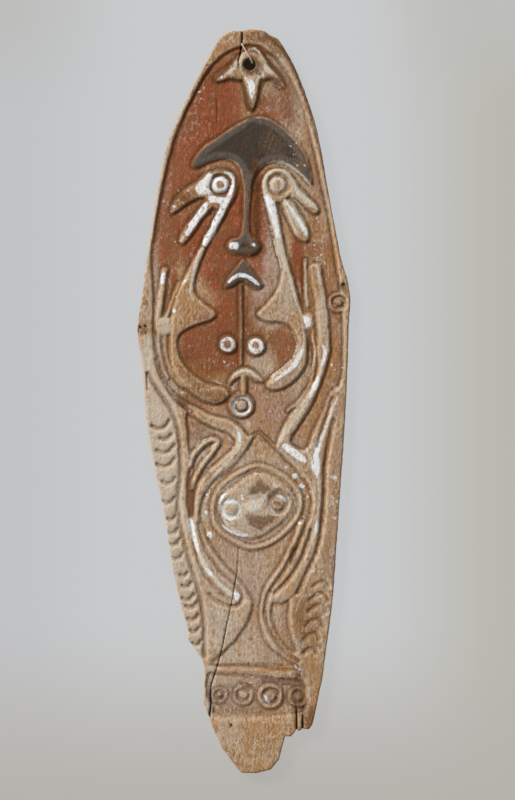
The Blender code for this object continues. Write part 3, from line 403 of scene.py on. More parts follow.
# Thin, worn white: lines and rings as above
WASH_LINES = [
    [(235.6, 61, 1.4), (235.4, 65, 2.2), (233, 69, 2.4), (229.4, 72, 2.2), (225.6, 75, 1.2)],
    [(265, 64.6, 1.0), (266.6, 68.6, 2.6), (270, 71.6, 2.6), (272.6, 73.4, 1.2)],
    [(265, 182, 2.4), (266, 194, 3.0), (270, 206, 4.6), (275, 222, 4.0), (279, 240, 3.2), (283, 256, 2.6),
     (288, 272, 2.0), (296, 298, 1.4)], [(284, 200, 1.6), (292, 211, 3.0), (300, 223, 3.4), (306, 234, 2.6)],
    [(295, 190, 1.8), (304, 198, 2.6), (312, 205, 2.8)], [(214, 380, 0.8), (222, 384, 1.0), (228, 386, 0.8)],
    [(244, 504, 2.0), (248, 506, 4.0), (253, 506, 6.0), (258, 504, 4.6), (262, 499.6, 2.4), (265.6, 494.8, 1.4)],
    [(286, 487.6, 0.9), (291.6, 493.6, 1.2), (294, 500, 1.3), (293.6, 507, 1.3), (289.6, 514, 1.2), (283, 519.6, 0.9)],
    [(284.8, 500, 1.0), (285.6, 505, 1.0), (284, 509.4, 0.9)], [(269.6, 506, 1.2), (272, 510, 1.5), (275, 513, 1.2)],
    [(297.6, 489, 0.9), (300.6, 497, 1.2), (301.2, 504, 1.1)], [(220, 492, 1.6), (228, 484, 1.4), (238, 478, 1.3)],
    [(243.4, 53, 1.3), (241, 58, 1.5), (240.6, 64, 1.5), (241.4, 70, 1.3), (243, 74, 1.2), (245.4, 77.4, 1.0)],
    [(243, 53.4, 1.2), (246.6, 52, 1.3), (250.4, 49.6, 1.2), (254, 48.6, 1.7), (257.4, 50, 1.5), (260.4, 53.6, 1.4),
     (263, 58, 1.2), (265.6, 62, 1.2)], [(271, 70, 1.1), (276, 75, 1.1), (280.4, 78.8, 0.8)],
    [(262.6, 72.6, 1.2), (263, 75, 1.2), (260, 77, 1.1), (257, 79.4, 1.0), (256, 84, 0.8)],
    [(272, 81, 0.5), (276, 85.6, 0.6), (280.4, 88.2, 0.7), (285.4, 86, 0.5)],
    [(218.4, 79, 0.9), (222, 77.4, 1.2), (226, 75, 1.2)],
    [(202.4, 249, 2.0), (199, 257, 2.3), (195.8, 266, 2.4), (193.6, 275, 2.1), (191.4, 284, 1.6), (190.4, 293, 1.2),
     (193, 300, 0.9)], [(184, 236, 1.2), (180.4, 241, 1.0)], [(189, 275, 1.2), (186.6, 279.6, 1.7), (183, 284.6, 1.1)],
    [(231.6, 378.5, 0.9), (235, 374, 1.3), (240.5, 371, 1.4), (247, 370.6, 1.4), (253, 373, 1.5), (258, 377, 1.6),
     (262, 381, 1.1)],
    [(274, 170.4, 1.2), (268.6, 173.4, 1.7), (265.4, 178, 2.0), (264.4, 184, 2.1), (265, 190, 2.2), (266.6, 196, 2.2)],
    [(272, 171.4, 1.2), (278, 169.8, 1.3), (285, 171.4, 1.4), (290, 175.6, 1.7), (293.4, 181, 1.8), (295.6, 187, 1.6)],
    [(284, 202, 0.9), (288, 213, 1.2), (291.6, 223, 1.2), (296, 233, 1.0)],
    [(296, 188.6, 1.3), (302, 195, 1.5), (308, 200.4, 1.8), (313.6, 205.4, 2.4), (317, 209, 1.4)],
    [(293, 198, 0.9), (298, 203, 1.0), (303, 208, 0.9)],
    [(268, 163.6, 1.1), (276, 161.8, 1.5), (285, 163.4, 1.6), (292, 167.6, 1.5), (300, 173.6, 1.4), (307, 181, 1.3),
     (312, 187, 1.0)],
    [(285, 262, 1.3), (288, 273, 1.2), (291, 286, 1.0), (295, 299, 1.0), (300, 311, 1.0), (304, 318, 1.3)],
    [(270, 226, 0.8), (274, 243, 0.9), (279, 260, 0.9), (281.4, 268, 0.9)],
    [(304, 327, 1.6), (304.4, 338, 1.6), (303, 349, 1.8), (298, 360, 1.6)], [(281, 376.6, 1.6), (271.6, 383, 1.3)],
    [(292, 331, 0.8), (296, 340, 1.0), (296.4, 349, 1.0), (291, 360, 1.1), (282, 368, 1.1), (271, 377, 1.1)],
    [(327.8, 330, 0.9), (328, 341, 1.2), (326.4, 350, 1.4), (323.6, 360, 1.6), (320.6, 371, 1.9), (315, 386, 2.0),
     (309, 398, 2.2), (301, 411, 2.2), (292.6, 423, 2.2), (285, 433, 2.3), (280.8, 441, 2.0)],
    [(312, 335, 0.8), (315, 350, 1.0), (313.4, 364, 1.0), (309, 376, 1.0)],
    [(316, 265.6, 1.3), (318.6, 274, 1.6), (320.6, 284, 1.4)],
    [(323.2, 290, 0.9), (325.4, 306, 0.9), (327.2, 324, 1.0)],
    [(338, 396, 1.0), (334, 405, 1.4), (330, 415, 1.6), (326.4, 426, 1.7), (321.6, 438, 1.9), (317, 449, 2.3),
     (315, 457, 2.3), (316.6, 469, 1.9), (319, 482, 1.4), (319, 497, 1.1), (318, 512, 1.1), (316.4, 530, 1.4),
     (313, 544, 1.0)], [(306.4, 448, 1.0), (310, 457, 1.6), (314, 466, 1.6)],
    [(236, 427, 1.2), (240.6, 436, 1.9), (239.6, 445, 1.8), (234, 454, 1.4), (226, 463, 1.6), (219, 470, 1.4),
     (212, 479, 1.2), (206, 489, 1.0)],
    [(192, 530, 1.9), (194.6, 540, 2.0), (197.6, 550, 1.9), (202, 560, 2.4), (208.6, 571, 2.6), (215, 579, 1.9),
     (224, 587.6, 2.1), (233, 595, 2.4)], [(222, 517, 1.2), (228.6, 526, 1.5), (238, 532.6, 1.9), (249, 536, 1.4)],
    [(243, 479.6, 0.7), (256, 473, 1.0), (262, 475, 0.8)], [(273, 482, 1.2), (276, 487, 1.8), (280, 485, 0.9)],
    [(239.4, 693.4, 0.8), (240, 689.6, 1.2), (243, 687.6, 0.9)],
    [(250.4, 690, 0.6), (251.4, 695, 0.9), (249, 699, 0.6)], [(225.4, 689.6, 0.7), (226, 693, 1.1), (225, 696, 0.6)],
    [(273.4, 674.6, 1.0), (276.6, 677, 1.1)],
    [(296, 612, 0.7), (301, 597.5, 1.0), (310, 594.5, 1.1), (320, 593.6, 0.9), (325, 600, 0.7)],
    [(320, 603, 0.7), (323, 611, 0.8)], [(313, 583, 0.6), (321, 580, 0.7), (327, 588, 0.6)],
    [(196, 446, 1.2), (203, 440, 1.2), (211, 437, 1.0)], [(203, 456, 1.2), (211, 448, 1.2), (216, 443.6, 1.0)],
    [(246, 452, 1.0), (236, 463, 1.1), (224, 473, 1.1), (212, 486, 1.0), (206, 500, 1.0)]]
WASH_RINGS = [
    (277.6, 184.8, 6.0, 1.9), (241.6, 405.6, 8.5, 1.6), (230.4, 508.6, 8.0, 3.4), (278.4, 503.4, 11.0, 0.7),
    (220.2, 184.8, 6.0, 2.2), (339, 302.8, 5.0, 0.8)]

# Paint and wear as soft patches of (x, y, half width, half height, strength): chalky white, grey
# weathering, red ochre, bare golden wood, brown that is partly dirt and partly painted shade (such as
# round the hole), carving worn soft, walls darkened partly by sooting and partly by painted shade, and
# black paint worn away
PATCHES = {
    "chalk": [
        (241.5, 405, 6, 6, 0.7), (252, 590, 40, 60, 0.45), (240, 635, 40, 34, 0.5), (253, 503, 34, 26, 0.55),
        (270, 445, 36, 30, 0.28), (226, 440, 40, 34, 0.35), (244, 455, 10, 20, 0.5), (300, 560, 30, 60, 0.3),
        (322, 318, 7, 30, 0.65), (320, 290, 6, 40, 0.35), (290, 172, 22, 8, 0.5), (285, 300, 20, 26, 0.35),
        (262, 402, 24, 20, 0.25), (170, 520, 22, 90, 0.3), (330, 520, 14, 60, 0.25), (266, 232, 6, 42, 0.3),
        (270, 262, 9, 30, 0.5), (262, 292, 12, 18, 0.55), (268, 322, 16, 9, 0.5), (258, 312, 9, 14, 0.4),
        (262, 362, 16, 18, 0.55), (252, 374, 12, 8, 0.4), (236, 386, 8, 6, 0.3), (254, 95, 4, 12, 0.4),
        (283, 98, 16, 16, 0.22), (298, 122, 9, 22, 0.32), (240, 380, 14, 12, 0.25), (210, 300, 8, 12, 0.1),
        (165, 325, 9, 12, 0.75), (159, 300, 4, 26, 0.45), (160, 345, 5, 16, 0.6), (150, 370, 8, 26, 0.55),
        (190, 265, 6, 18, 0.25), (204, 457, 10, 14, 0.55), (206, 480, 8, 14, 0.4), (244, 436, 12, 12, 0.35),
        (253, 500, 26, 22, 0.35), (230, 508, 14, 14, 0.55), (220, 590, 16, 16, 0.35), (205, 560, 9, 26, 0.45),
        (224, 575, 10, 18, 0.35), (232, 645, 28, 14, 0.4), (246, 655, 22, 10, 0.35), (300, 195, 14, 16, 0.5),
        (298, 222, 9, 16, 0.6), (292, 186, 9, 12, 0.55), (276, 178, 14, 12, 0.4), (283, 292, 14, 26, 0.4),
        (308, 322, 6, 8, 0.6), (315, 460, 5, 30, 0.45), (303, 400, 12, 26, 0.4), (330, 410, 8, 30, 0.3),
        (300, 365, 10, 22, 0.45), (286, 520, 14, 24, 0.12), (313, 540, 4, 26, 0.35), (283, 640, 12, 16, 0.3),
        (267, 640, 6, 20, 0.28), (298, 645, 7, 14, 0.45), (205, 535, 5, 18, 0.3), (345, 300, 3, 40, 0.3),
        (333, 222, 5, 30, 0.25), (212, 520, 4, 16, 0.3), (300, 110, 6, 30, 0.15), (245, 64, 7, 12, 0.3),
        (265, 62, 6, 10, 0.3), (240, 555, 20, 14, 0.12)],
    "ash": [
        (311, 112, 8, 60, 0.1), (326, 185, 8, 60, 0.3), (334, 218, 7, 28, 0.4), (196, 90, 10, 60, 0.2),
        (165, 175, 8, 60, 0.25), (150, 250, 7, 50, 0.3), (258, 503, 52, 46, 0.45), (160, 430, 20, 60, 0.95),
        (168, 510, 18, 60, 0.9), (184, 590, 16, 50, 0.75), (146, 375, 12, 40, 0.8), (150, 350, 10, 20, 0.7),
        (196, 640, 12, 26, 0.7), (170, 470, 14, 30, 0.8), (214, 625, 22, 36, 0.42), (244, 690, 60, 22, 0.5),
        (232, 684, 26, 12, 0.55), (211, 688, 8, 30, 0.75), (250, 660, 40, 8, 0.4), (300, 690, 16, 30, 0.4),
        (152, 240, 9, 70, 0.35), (158, 180, 8, 60, 0.35), (180, 100, 12, 50, 0.3), (196, 520, 14, 50, 0.4),
        (220, 455, 30, 36, 0.3), (258, 500, 50, 50, 0.25), (312, 600, 26, 70, 0.1), (325, 460, 18, 60, 0.2),
        (300, 150, 14, 60, 0.22), (262, 712, 46, 6, 0.25), (228, 730, 16, 20, 0.45), (276, 610, 12, 40, 0.25),
        (294, 430, 26, 30, 0.2), (246, 745, 30, 30, 0.05), (330, 560, 12, 60, 0.2), (283, 292, 12, 30, 0.28),
        (222, 45, 14, 10, 0.15), (285, 60, 14, 26, 0.45), (298, 90, 9, 30, 0.45), (254, 58, 16, 14, 0.25)],
    "ochre": [
        (205, 110, 42, 60, 1.0), (182, 170, 26, 60, 0.85), (168, 230, 18, 50, 0.85), (196, 240, 20, 40, 0.95),
        (232, 225, 20, 60, 1.05), (222, 262, 22, 40, 1.0), (206, 345, 34, 44, 0.82), (230, 320, 20, 60, 0.95),
        (256, 215, 10, 60, 1.0), (262, 245, 9, 40, 0.8), (262, 280, 16, 40, 0.62), (256, 310, 14, 60, 0.72),
        (280, 345, 20, 22, 0.72), (246, 50, 36, 8, 0.8), (218, 70, 22, 18, 0.8), (286, 92, 14, 40, 0.6),
        (266, 108, 26, 16, 0.6), (270, 130, 18, 14, 0.5), (306, 150, 9, 50, 0.35), (316, 200, 9, 60, 0.4),
        (298, 268, 8, 46, 0.95), (329, 268, 7, 44, 0.55), (335, 345, 6, 60, 0.5), (330, 375, 6, 36, 0.45),
        (318, 405, 16, 34, 0.48), (256, 671.5, 46, 4, 0.5), (300, 430, 10, 22, 0.45), (210, 425, 30, 22, 0.4),
        (196, 418, 16, 26, 0.4), (240, 400, 30, 26, 0.5), (270, 420, 20, 26, 0.45), (268, 400, 26, 18, 0.42),
        (190, 500, 5, 28, 0.6), (252, 570, 30, 50, 0.35), (260, 630, 20, 40, 0.3), (222, 620, 16, 20, 0.35),
        (278, 540, 20, 40, 0.25), (282, 625, 9, 26, 0.4), (313, 350, 4, 30, 0.5), (250, 440, 50, 30, 0.2),
        (327, 440, 6, 60, 0.5), (250, 740, 40, 30, 0.12), (268, 655, 16, 12, 0.25), (208, 210, 14, 14, 0.7),
        (174, 290, 5, 30, 0.8), (311, 250, 14, 12, 0.6), (300, 182, 7, 12, 0.2)],
    "gold": [
        (306, 425, 10, 24, 0.7), (314, 300, 6, 44, 0.8), (318, 330, 8, 20, 0.6), (333, 250, 7, 50, 0.5),
        (333, 360, 6, 40, 0.65), (339, 303, 9, 10, 0.5), (300, 610, 12, 30, 0.7), (312, 620, 12, 36, 0.6),
        (310, 690, 12, 46, 0.7), (256, 671.5, 46, 4, 0.95), (286, 590, 12, 20, 0.5), (240, 745, 34, 24, 0.25),
        (222, 725, 14, 12, 0.5), (205, 672, 10, 8, 0.4), (318, 405, 14, 30, 0.5), (332, 470, 7, 80, 0.45),
        (322, 180, 9, 40, 0.3), (265, 700, 30, 12, 0.3), (206, 300, 20, 18, 0.4), (180, 300, 14, 20, 0.5),
        (176, 345, 8, 40, 0.5), (210, 385, 30, 14, 0.5), (190, 372, 14, 14, 0.6), (296, 552, 10, 30, 0.5),
        (268, 380, 10, 6, 0.4)],
    "umber": [
        (254, 692, 52, 20, 0.3), (276, 681, 24, 4, 0.5), (200, 430, 14, 12, 0.35), (246, 710, 40, 5, 0.35),
        (255, 664.5, 44, 2.6, 0.45), (216, 398, 14, 8, 0.5), (200, 392, 16, 12, 0.35), (184, 200, 14, 9, 0.5),
        (290, 104, 12, 24, 0.35), (266, 100, 10, 16, 0.25), (251, 66, 11, 10, 0.8), (262, 36, 20, 8, 0.5),
        (276, 48, 10, 12, 0.5), (208, 350, 34, 40, 0.28), (192, 362, 16, 22, 0.42), (305, 620, 14, 40, 0.35),
        (300, 610, 6, 26, 0.35), (298, 690, 8, 30, 0.55), (308, 715, 8, 14, 0.5), (142, 329, 7, 6, 0.55),
        (343, 286, 4, 6, 0.6), (184, 400, 8, 8, 0.5), (214, 80, 6, 5, 0.3), (234, 79, 9, 4, 0.55),
        (277, 82, 7, 5, 0.3), (250, 106, 5, 6, 0.45), (284, 684, 6, 26, 0.3), (252, 254, 12, 6, 0.5),
        (262, 250, 5, 8, 0.5), (297, 125, 6, 10, 0.1), (207, 475, 6, 6, 0.4), (191, 500, 4, 20, 0.6),
        (293, 556, 4, 12, 0.55), (222, 692, 7, 7, 0.3), (270, 695, 6, 6, 0.35), (240, 406, 6, 6, 0.15),
        (339, 303, 5, 5, 0.45), (330, 560, 9, 50, 0.22), (312, 645, 9, 16, 0.2), (226, 170, 9, 4, 0.4)],
    "soft": [
        (313, 300, 9, 46, 0.45), (277, 185, 13, 13, 0.45), (254, 503, 52, 48, 0.5), (250, 580, 76, 90, 0.32),
        (328, 415, 12, 34, 0.5), (298, 90, 18, 70, 0.8), (316, 618, 22, 58, 0.55), (282, 628, 14, 40, 0.5),
        (262, 690, 60, 24, 0.35), (212, 660, 18, 8, 0.5), (256, 716, 48, 6, 0.95), (254, 671, 50, 9, 0.6),
        (170, 530, 22, 110, 0.3)],
    "sooted": [
        (205, 200, 40, 44, 0.85), (252, 82, 38, 34, 0.8), (245, 280, 22, 14, 0.9), (228, 345, 12, 12, 0.9),
        (256, 346, 12, 12, 0.9), (242, 404, 14, 14, 0.7), (234, 508, 14, 14, 0.5), (278, 503, 12, 12, 0.6),
        (290, 200, 26, 30, 0.3), (196, 395, 34, 14, 0.6), (245, 378, 20, 10, 0.5), (250, 248, 18, 10, 0.6)],
    "worn": [(277, 142, 18, 18, 0.22), (249, 212, 5, 40, 0.5), (302, 156, 10, 16, 0.4), (280, 150, 10, 16, 0.15)]}

# A painted shade band down the middle of the brow and the top of the nose, laid on as deeper black,
# as soft patches
BROW_SHADE_BAND = [(251.5, 140, 5.5, 26, 1.0), (252.5, 170, 3, 20, 0.5)]

# Soft strokes of chalk and of brown, as smooth lines of (x, y, half width). The brown is partly dirt and
# partly painted shade: the shadows right of the nose and of the centre rib, the shade on the right rim's
# outer slope and inside the left rim, and the lower right of the foot's rings
CHALK_AND_HIGHLIGHT_LINES = [
    [(161.4, 286, 1.4), (159.8, 297, 1.6), (158.4, 308, 1.6), (157.4, 318, 1.6)],
    [(305.6, 264, 1.6), (306, 284, 1.8), (307.2, 304, 2.0)],
    [(322, 284, 0.8), (325, 300, 1.0), (327, 318, 1.2), (328.4, 336, 1.2)],
    [(166, 276, 0.8), (170, 283, 0.8), (168, 296, 0.9), (165, 308, 0.9)],
    [(341, 322, 0.8), (341.6, 345, 0.9), (341, 370, 0.9), (340, 392, 0.9)], [(334, 384, 2.4), (338, 390, 2.0)],
    [(149, 340, 3.0), (150, 352, 3.4), (154, 366, 2.6)],
    [(214, 50, 0.8), (205, 62, 1.1), (195, 82, 1.2), (185.6, 102, 1.3), (177, 122, 1.3), (170.4, 142, 1.2),
     (164.6, 162, 1.1), (157.6, 200, 1.2), (150, 240, 1.3), (144, 280, 1.2)],
    # Partly chalk and partly a painted highlight on the lit inner wall of the right rim
    [(262, 46, 0.6), (270, 51, 0.8), (279, 58.5, 1.0), (287, 67, 1.4), (293.5, 78, 1.6), (299, 90, 1.6),
     (303.5, 103, 1.2), (307.5, 116, 0.9), (311.5, 130, 0.9), (315, 144, 1.2), (318, 158, 1.0), (322, 176, 0.8)]]
BROWN_LINES = [
    [(247, 495, 0.8), (251, 492.6, 3.0), (255.6, 489.6, 5.4), (258.4, 486.6, 6.0), (263, 489.6, 4.6), (268, 488, 2.8),
     (271, 489, 1.2)],
    [(247, 514, 1.2), (251, 518.6, 3.6), (256.4, 521.6, 6.6), (259.6, 523, 6.4), (264, 520.4, 5.0), (270, 519, 3.4),
     (277, 516.6, 1.4)], [(268, 498, 1.6), (270, 493.6, 2.0), (275, 491, 2.0), (281, 491, 1.6), (287, 495, 1.2)],
    [(274, 501, 1.6), (278, 504, 3.2), (281, 506, 2.4)],
    [(264.4, 696, 1.4), (264.6, 690.6, 2.0), (268.6, 686.8, 2.0), (274, 687.4, 2.0), (278, 692, 1.8),
     (277, 698.6, 1.6), (272.6, 701.6, 1.6)],
    [(236, 692, 1.2), (239, 686.6, 1.4), (244.6, 684.8, 1.4), (250, 686.4, 1.2)],
    [(217, 703.6, 1.2), (222, 705.4, 1.6), (228, 703, 1.2)], [(262, 706, 1.0), (268, 709, 1.6), (276, 708.6, 1.2)],
    [(262, 679.6, 1.6), (272, 681.6, 2.2), (284, 683.6, 2.4), (294, 684.6, 1.6)],
    [(301, 689, 1.6), (304.6, 694, 2.0), (304.6, 701, 2.0), (300, 708, 2.0)],
    [(215, 691, 1.2), (218, 696.6, 1.8), (222, 697, 1.4)], [(283, 690, 1.0), (284.4, 697, 1.6), (282.6, 704, 1.2)]]
BROWN_DIRT_AND_SHADE_LINES = [
    [(169, 284, 0.9), (167.6, 292, 1.6), (165.4, 302, 1.7), (163.6, 311, 1.3)],
    [(308.6, 336, 1.2), (309.4, 344, 1.6), (309, 351, 1.0)],
    [(266, 35.6, 1.8), (274, 41.4, 2.4), (282.6, 50, 2.6), (291.4, 64.6, 2.2), (298.4, 80, 1.9), (305.4, 98, 1.6),
     (311.4, 118, 1.3), (316.2, 137, 1.0), (321.6, 160, 0.6), (327.6, 192, 0.6)],
    [(246.2, 291, 0.4), (246.6, 310, 0.8), (246.4, 340, 1.0), (245.8, 362, 0.6)],
    [(255, 158, 2.2), (255.8, 180, 3.4), (256.4, 205, 4.0), (256.8, 228, 3.6), (258, 244, 1.8)],
    [(209, 66, 1.2), (198, 86, 1.4), (188, 108, 1.4), (180, 130, 1.4), (173, 152, 1.4), (167, 175, 1.3),
     (161, 205, 1.2), (156, 240, 1.0)], [(214, 80, 1.6), (222, 72, 2.4), (230, 65, 2.4), (236, 57, 1.6)],
    [(222, 84, 1.4), (232, 79.6, 2.0), (240, 81, 1.8), (245, 89, 1.8), (246.6, 98, 1.8), (248.6, 106, 2.2),
     (253, 111, 2.0), (258, 104, 2.0), (260, 94, 2.0), (263, 84, 1.8), (268, 78, 1.6), (276, 80, 1.6), (283, 88, 1.2)],
    [(257, 46, 1.4), (264, 54, 2.0), (270, 62, 2.2), (277, 70, 2.2), (283, 78, 2.0), (286, 86, 1.2)]]


def smooth(points, closed, step=CARVING_STEP):
    """Points along a smooth curve through the given ones (a Catmull-Rom spline)."""
    pts = [np.array(p, float) for p in points]
    count = len(pts)
    out = []
    for i in range(count if closed else count - 1):
        if closed:
            before, start, end, after = (pts[(i + k) % count] for k in (-1, 0, 1, 2))
        else:
            before, start = pts[max(i - 1, 0)], pts[i]
            end, after = pts[i + 1], pts[min(i + 2, count - 1)]
        pieces = max(1, int(round(np.linalg.norm((end - start)[:2]) / step)))
        for k in range(pieces):
            t = k / pieces
            out.append(0.5 * (2 * start + (end - before) * t
                              + (2 * before - 5 * start + 4 * end - after) * t * t
                              + (3 * start - before - 3 * end + after) * t ** 3))
    if not closed:
        out.append(pts[-1])
    return np.array(out)


def noise(x, y, cell_x, cell_y, seed):
    """Smooth noise between -1 and 1 on the drawing, with cells of a given size."""
    table = np.random.default_rng(seed).uniform(-1, 1, (256, 256))
    u, v = x / cell_x, y / cell_y
    i, j = np.floor(u).astype(int), np.floor(v).astype(int)
    s, t = u - i, v - j
    s, t = s * s * (3 - 2 * s), t * t * (3 - 2 * t)
    i0, i1, j0, j1 = i % 256, (i + 1) % 256, j % 256, (j + 1) % 256
    low = table[i0, j0] * (1 - s) + table[i1, j0] * s
    high = table[i0, j1] * (1 - s) + table[i1, j1] * s
    return low * (1 - t) + high * t


def shaken(x, y, amount, long_cell, short_cell, seed):
    """Places moved a little at random, so that painted edges turn uneven."""
    return (x + amount * noise(x, y, long_cell, short_cell, seed),
            y + amount * noise(x, y, short_cell, long_cell, seed + 1))


def from_piece(x, y, start, end):
    """Share of a straight piece at which each point is nearest to it, and the distance there."""
    dx, dy = end[0] - start[0], end[1] - start[1]
    x, y = x - start[0], y - start[1]
    t = np.clip((x * dx + y * dy) / (dx * dx + dy * dy + 1e-12), 0, 1)
    return t, np.hypot(x - t * dx, y - t * dy)


def distance_to_line(x, y, line):
    """Distance from every point to a line of straight pieces."""
    best = np.full(x.shape, 1e9)
    for start, end in zip(line[:-1], line[1:]):
        best = np.minimum(best, from_piece(x, y, start, end)[1])
    return best


def inside(x, y, ring):
    """True where a point lies inside a closed ring."""
    result = np.zeros(x.shape, bool)
    for (ax, ay), (bx, by) in zip(ring, np.roll(ring, -1, axis=0)):
        if ay != by:
            result ^= ((y < ay) != (y < by)) & (x < ax + (y - ay) * (bx - ax) / (by - ay))
    return result


def near(x, y, points, margin):
    """The points of a flat list that lie in the box round some others."""
    low, high = np.min(points, axis=0) - margin, np.max(points, axis=0) + margin
    return np.nonzero((x > low[0]) & (x < high[0]) & (y > low[1]) & (y < high[1]))[0]


def join_level(depth, pick, level, sunk):
    """Adds a form to the standing surface, or takes it out, at the picked points."""
    depth[pick] = np.minimum(depth[pick], -level) if sunk else np.maximum(depth[pick], level)


def region(depth, x, y, points, sunk=False):
    """Raises or sinks the inside of a smooth closed line."""
    ring = smooth(points, True)
    pick = near(x, y, ring, REACH)
    x, y = x[pick], y[pick]
    distance = distance_to_line(x, y, np.vstack([ring, ring[:1]]))
    join_level(depth, pick, np.where(inside(x, y, ring), distance, -distance), sunk)


def band(depth, x, y, points, half_width, closed=False, sunk=False):
    """Raises or cuts a band along a smooth line."""
    line = smooth(points, closed)
    if closed:
        line = np.vstack([line, line[:1]])
    pick = near(x, y, line, REACH + half_width)
    join_level(depth, pick, half_width - distance_to_line(x[pick], y[pick], line), sunk)


def disc(depth, x, y, centre, outer, line_radius):
    """Raises a disc, with a ring line cut into it where one is given."""
    pick = near(x, y, [centre], outer + REACH)
    radius = np.hypot(x[pick] - centre[0], y[pick] - centre[1])
    level = np.maximum(depth[pick], outer - radius)
    if line_radius is not None:
        level = np.minimum(level, np.abs(radius - line_radius) - RING_LINE_HALF_WIDTH)
    depth[pick] = level


def small_line(shape, cx, cy, width):
    """Line of one scallop or chevron: its shape, at a place and of a width."""
    return [(cx + across * width / 2, cy + down * width) for across, down in shape]


def standing_depth(x, y):
    """How far inside the standing surface of the carving a point lies, negative in sunk places."""
    shake = FORM_FINE_SHAKE + FOOT_SHAKE * np.clip((y - FOOT_WEAR_FROM) / FOOT_WEAR_OVER, 0, 1)
    x, y = (x + FORM_SHAKE * noise(x, y, 5, 9, 1) + shake * noise(x, y, 2.4, 3, 2),
            y + FORM_SHAKE * noise(x, y, 9, 5, 3) + shake * noise(x, y, 3, 2.4, 4))
    depth = np.full(x.shape, REACH)
    for form in SUNK_FIELDS.values():
        region(depth, x, y, form, sunk=True)
    for form in RAISED_FORMS.values():
        region(depth, x, y, form)
    for points, half_width in RAISED_BANDS.values():
        band(depth, x, y, points, half_width)
    band(depth, x, y, *OVAL_RIM, closed=True)
    cuts = list(CUT_LINES)
    for shape, half_width, rows in ((SCALLOP, SCALLOP_HALF_WIDTH, SCALLOPS),
                                    (CHEVRON, CHEVRON_HALF_WIDTH, CHEVRONS)):
        cuts += [(small_line(shape, *row), half_width) for row in rows]
    for points, half_width in cuts:
        band(depth, x, y, points, half_width * CUT_NARROWING, sunk=True)
    for row in DISCS:
        disc(depth, x, y, *row)
    return depth


def add_stroke(depth, x, y, points):
    """Raises a level along a smooth line of changing half width."""
    line = smooth(points, False, LINE_STEP * 2)
    pick = near(x, y, line[:, :2], REACH)
    best = depth[pick]
    for start, end in zip(line[:-1], line[1:]):
        t, distance = from_piece(x[pick], y[pick], start, end)
        best = np.maximum(best, start[2] + (end[2] - start[2]) * t - distance)
    depth[pick] = best


def stroke_depth(x, y, lines, rings=()):
    """How far inside strokes, and rings of (x, y, radius, half width), a point lies."""
    depth = np.full(x.shape, -REACH)
    for line in lines:
        add_stroke(depth, x, y, line)
    for cx, cy, radius, half_width in rings:
        depth = np.maximum(depth, half_width - np.abs(np.hypot(x - cx, y - cy) - radius))
    return depth


def wash_depth(x, y):
    """How far inside thin, worn white a point lies."""
    return stroke_depth(*shaken(x, y, WASH_SHAKE, 3, 3, 13), WASH_LINES, WASH_RINGS)


def lime_crumbs():
    """Small left-over bits of lime, strewn over some areas."""
    rng = np.random.default_rng(71)
    crumbs = []
    for cx, cy, half_width, half_height, count in CRUMB_AREAS:
        for _ in range(count):
            turn, far = rng.uniform(0, 2 * math.pi), rng.uniform(0, 1) ** 0.5
            crumbs.append((cx + half_width * far * math.cos(turn), cy + half_height * far * math.sin(turn),
                           rng.uniform(*CRUMB_RADIUS)))
    return crumbs


def lime_depth(x, y):
    """How far inside thick white lime a point lies."""
    x, y = shaken(x, y, LIME_SHAKE, 3, 3, 11)
    depth = stroke_depth(x, y, LIME_LINES, LIME_RINGS)
    for patch in LIME_PATCHES:
        region(depth, x, y, patch)
    for cx, cy, radius in LIME_SPOTS + lime_crumbs():
        pick = near(x, y, [(cx, cy)], REACH)
        join_level(depth, pick, radius - np.hypot(x[pick] - cx, y[pick] - cy), False)
    return depth


def soot_and_shade_depth(x, y):
    """How far inside black paint a point lies, taken further in along a painted shade band down the brow."""
    depth = np.full(x.shape, -REACH)
    for name in ("brow and nose", "mouth"):
        region(depth, x, y, RAISED_FORMS[name])
    band(depth, x, y, *RAISED_BANDS["centre rib"])
    for (cx, cy), outer, _ in BREASTS:
        radius = np.hypot(x - cx, y - cy)
        depth = np.maximum(depth, np.minimum(outer - radius, radius - outer + BREAST_SOOT_WIDTH))
    return depth + SHADE_BAND_DEEPENING * patches(x, y, BROW_SHADE_BAND)


def patches(x, y, rows):
    """The strongest of some soft patches, each (x, y, half width, half height, strength)."""
    total = np.zeros(x.shape)
    for cx, cy, half_width, half_height, strength in rows:
        far = ((x - cx) / half_width) ** 2 + ((y - cy) / half_height) ** 2
        total = np.maximum(total, strength * np.clip(1.35 - far, 0, 1) ** 0.8)
    return total


def strokes(x, y, lines, strength, soft_edge=2.4, shake=0.7):
    """Soft strokes along smooth lines, of full strength along their middle."""
    depth = stroke_depth(*shaken(x, y, shake, 3, 4, 15), lines)
    return strength * np.clip(0.5 + depth / soft_edge, 0, 1)


def cut_depth(x, y):
    """Depth in metres of the fine cuts, cracks and pits."""
    depth = np.zeros(x.shape)
    for deep, line in FINE_CUTS:
        width = 0.25 + max(row[2] for row in line)
        share = np.clip((stroke_depth(x, y, [line]) + 0.35) / width, 0, 1)
        depth = np.maximum(depth, deep * share)
    for cx, cy, radius, deep in PITS:
        share = np.clip(1 - (np.hypot(x - cx, y - cy) / radius) ** 2, 0, 1)
        depth = np.maximum(depth, deep * share)
    return depth


def place(x, y):
    """Metres for a place on the drawing."""
    middle_y = (DRAWING_TOP + DRAWING_FOOT) / 2
    return (x - DRAWING_MIDDLE_X) * UNIT, (middle_y - y) * UNIT


def ground_height(x, y):
    """Height of the sunk ground: crowned across the board and a little thinner at its ends."""
    across, along = place(x, y)
    crown = CROWN * (1 - (across / HALF_WIDTH) ** 2)
    return EDGE_THICKNESS + crown - END_THINNING * np.abs(2 * along / BOARD_LENGTH) ** 3


def rounding(edge):
    """Share of an edge's rounding that is left at a distance from the edge, in drawing units."""
    t = np.clip(edge / EDGE_ROUND, 0, 1)
    return 1 - np.sqrt(1 - (1 - t) ** 2)


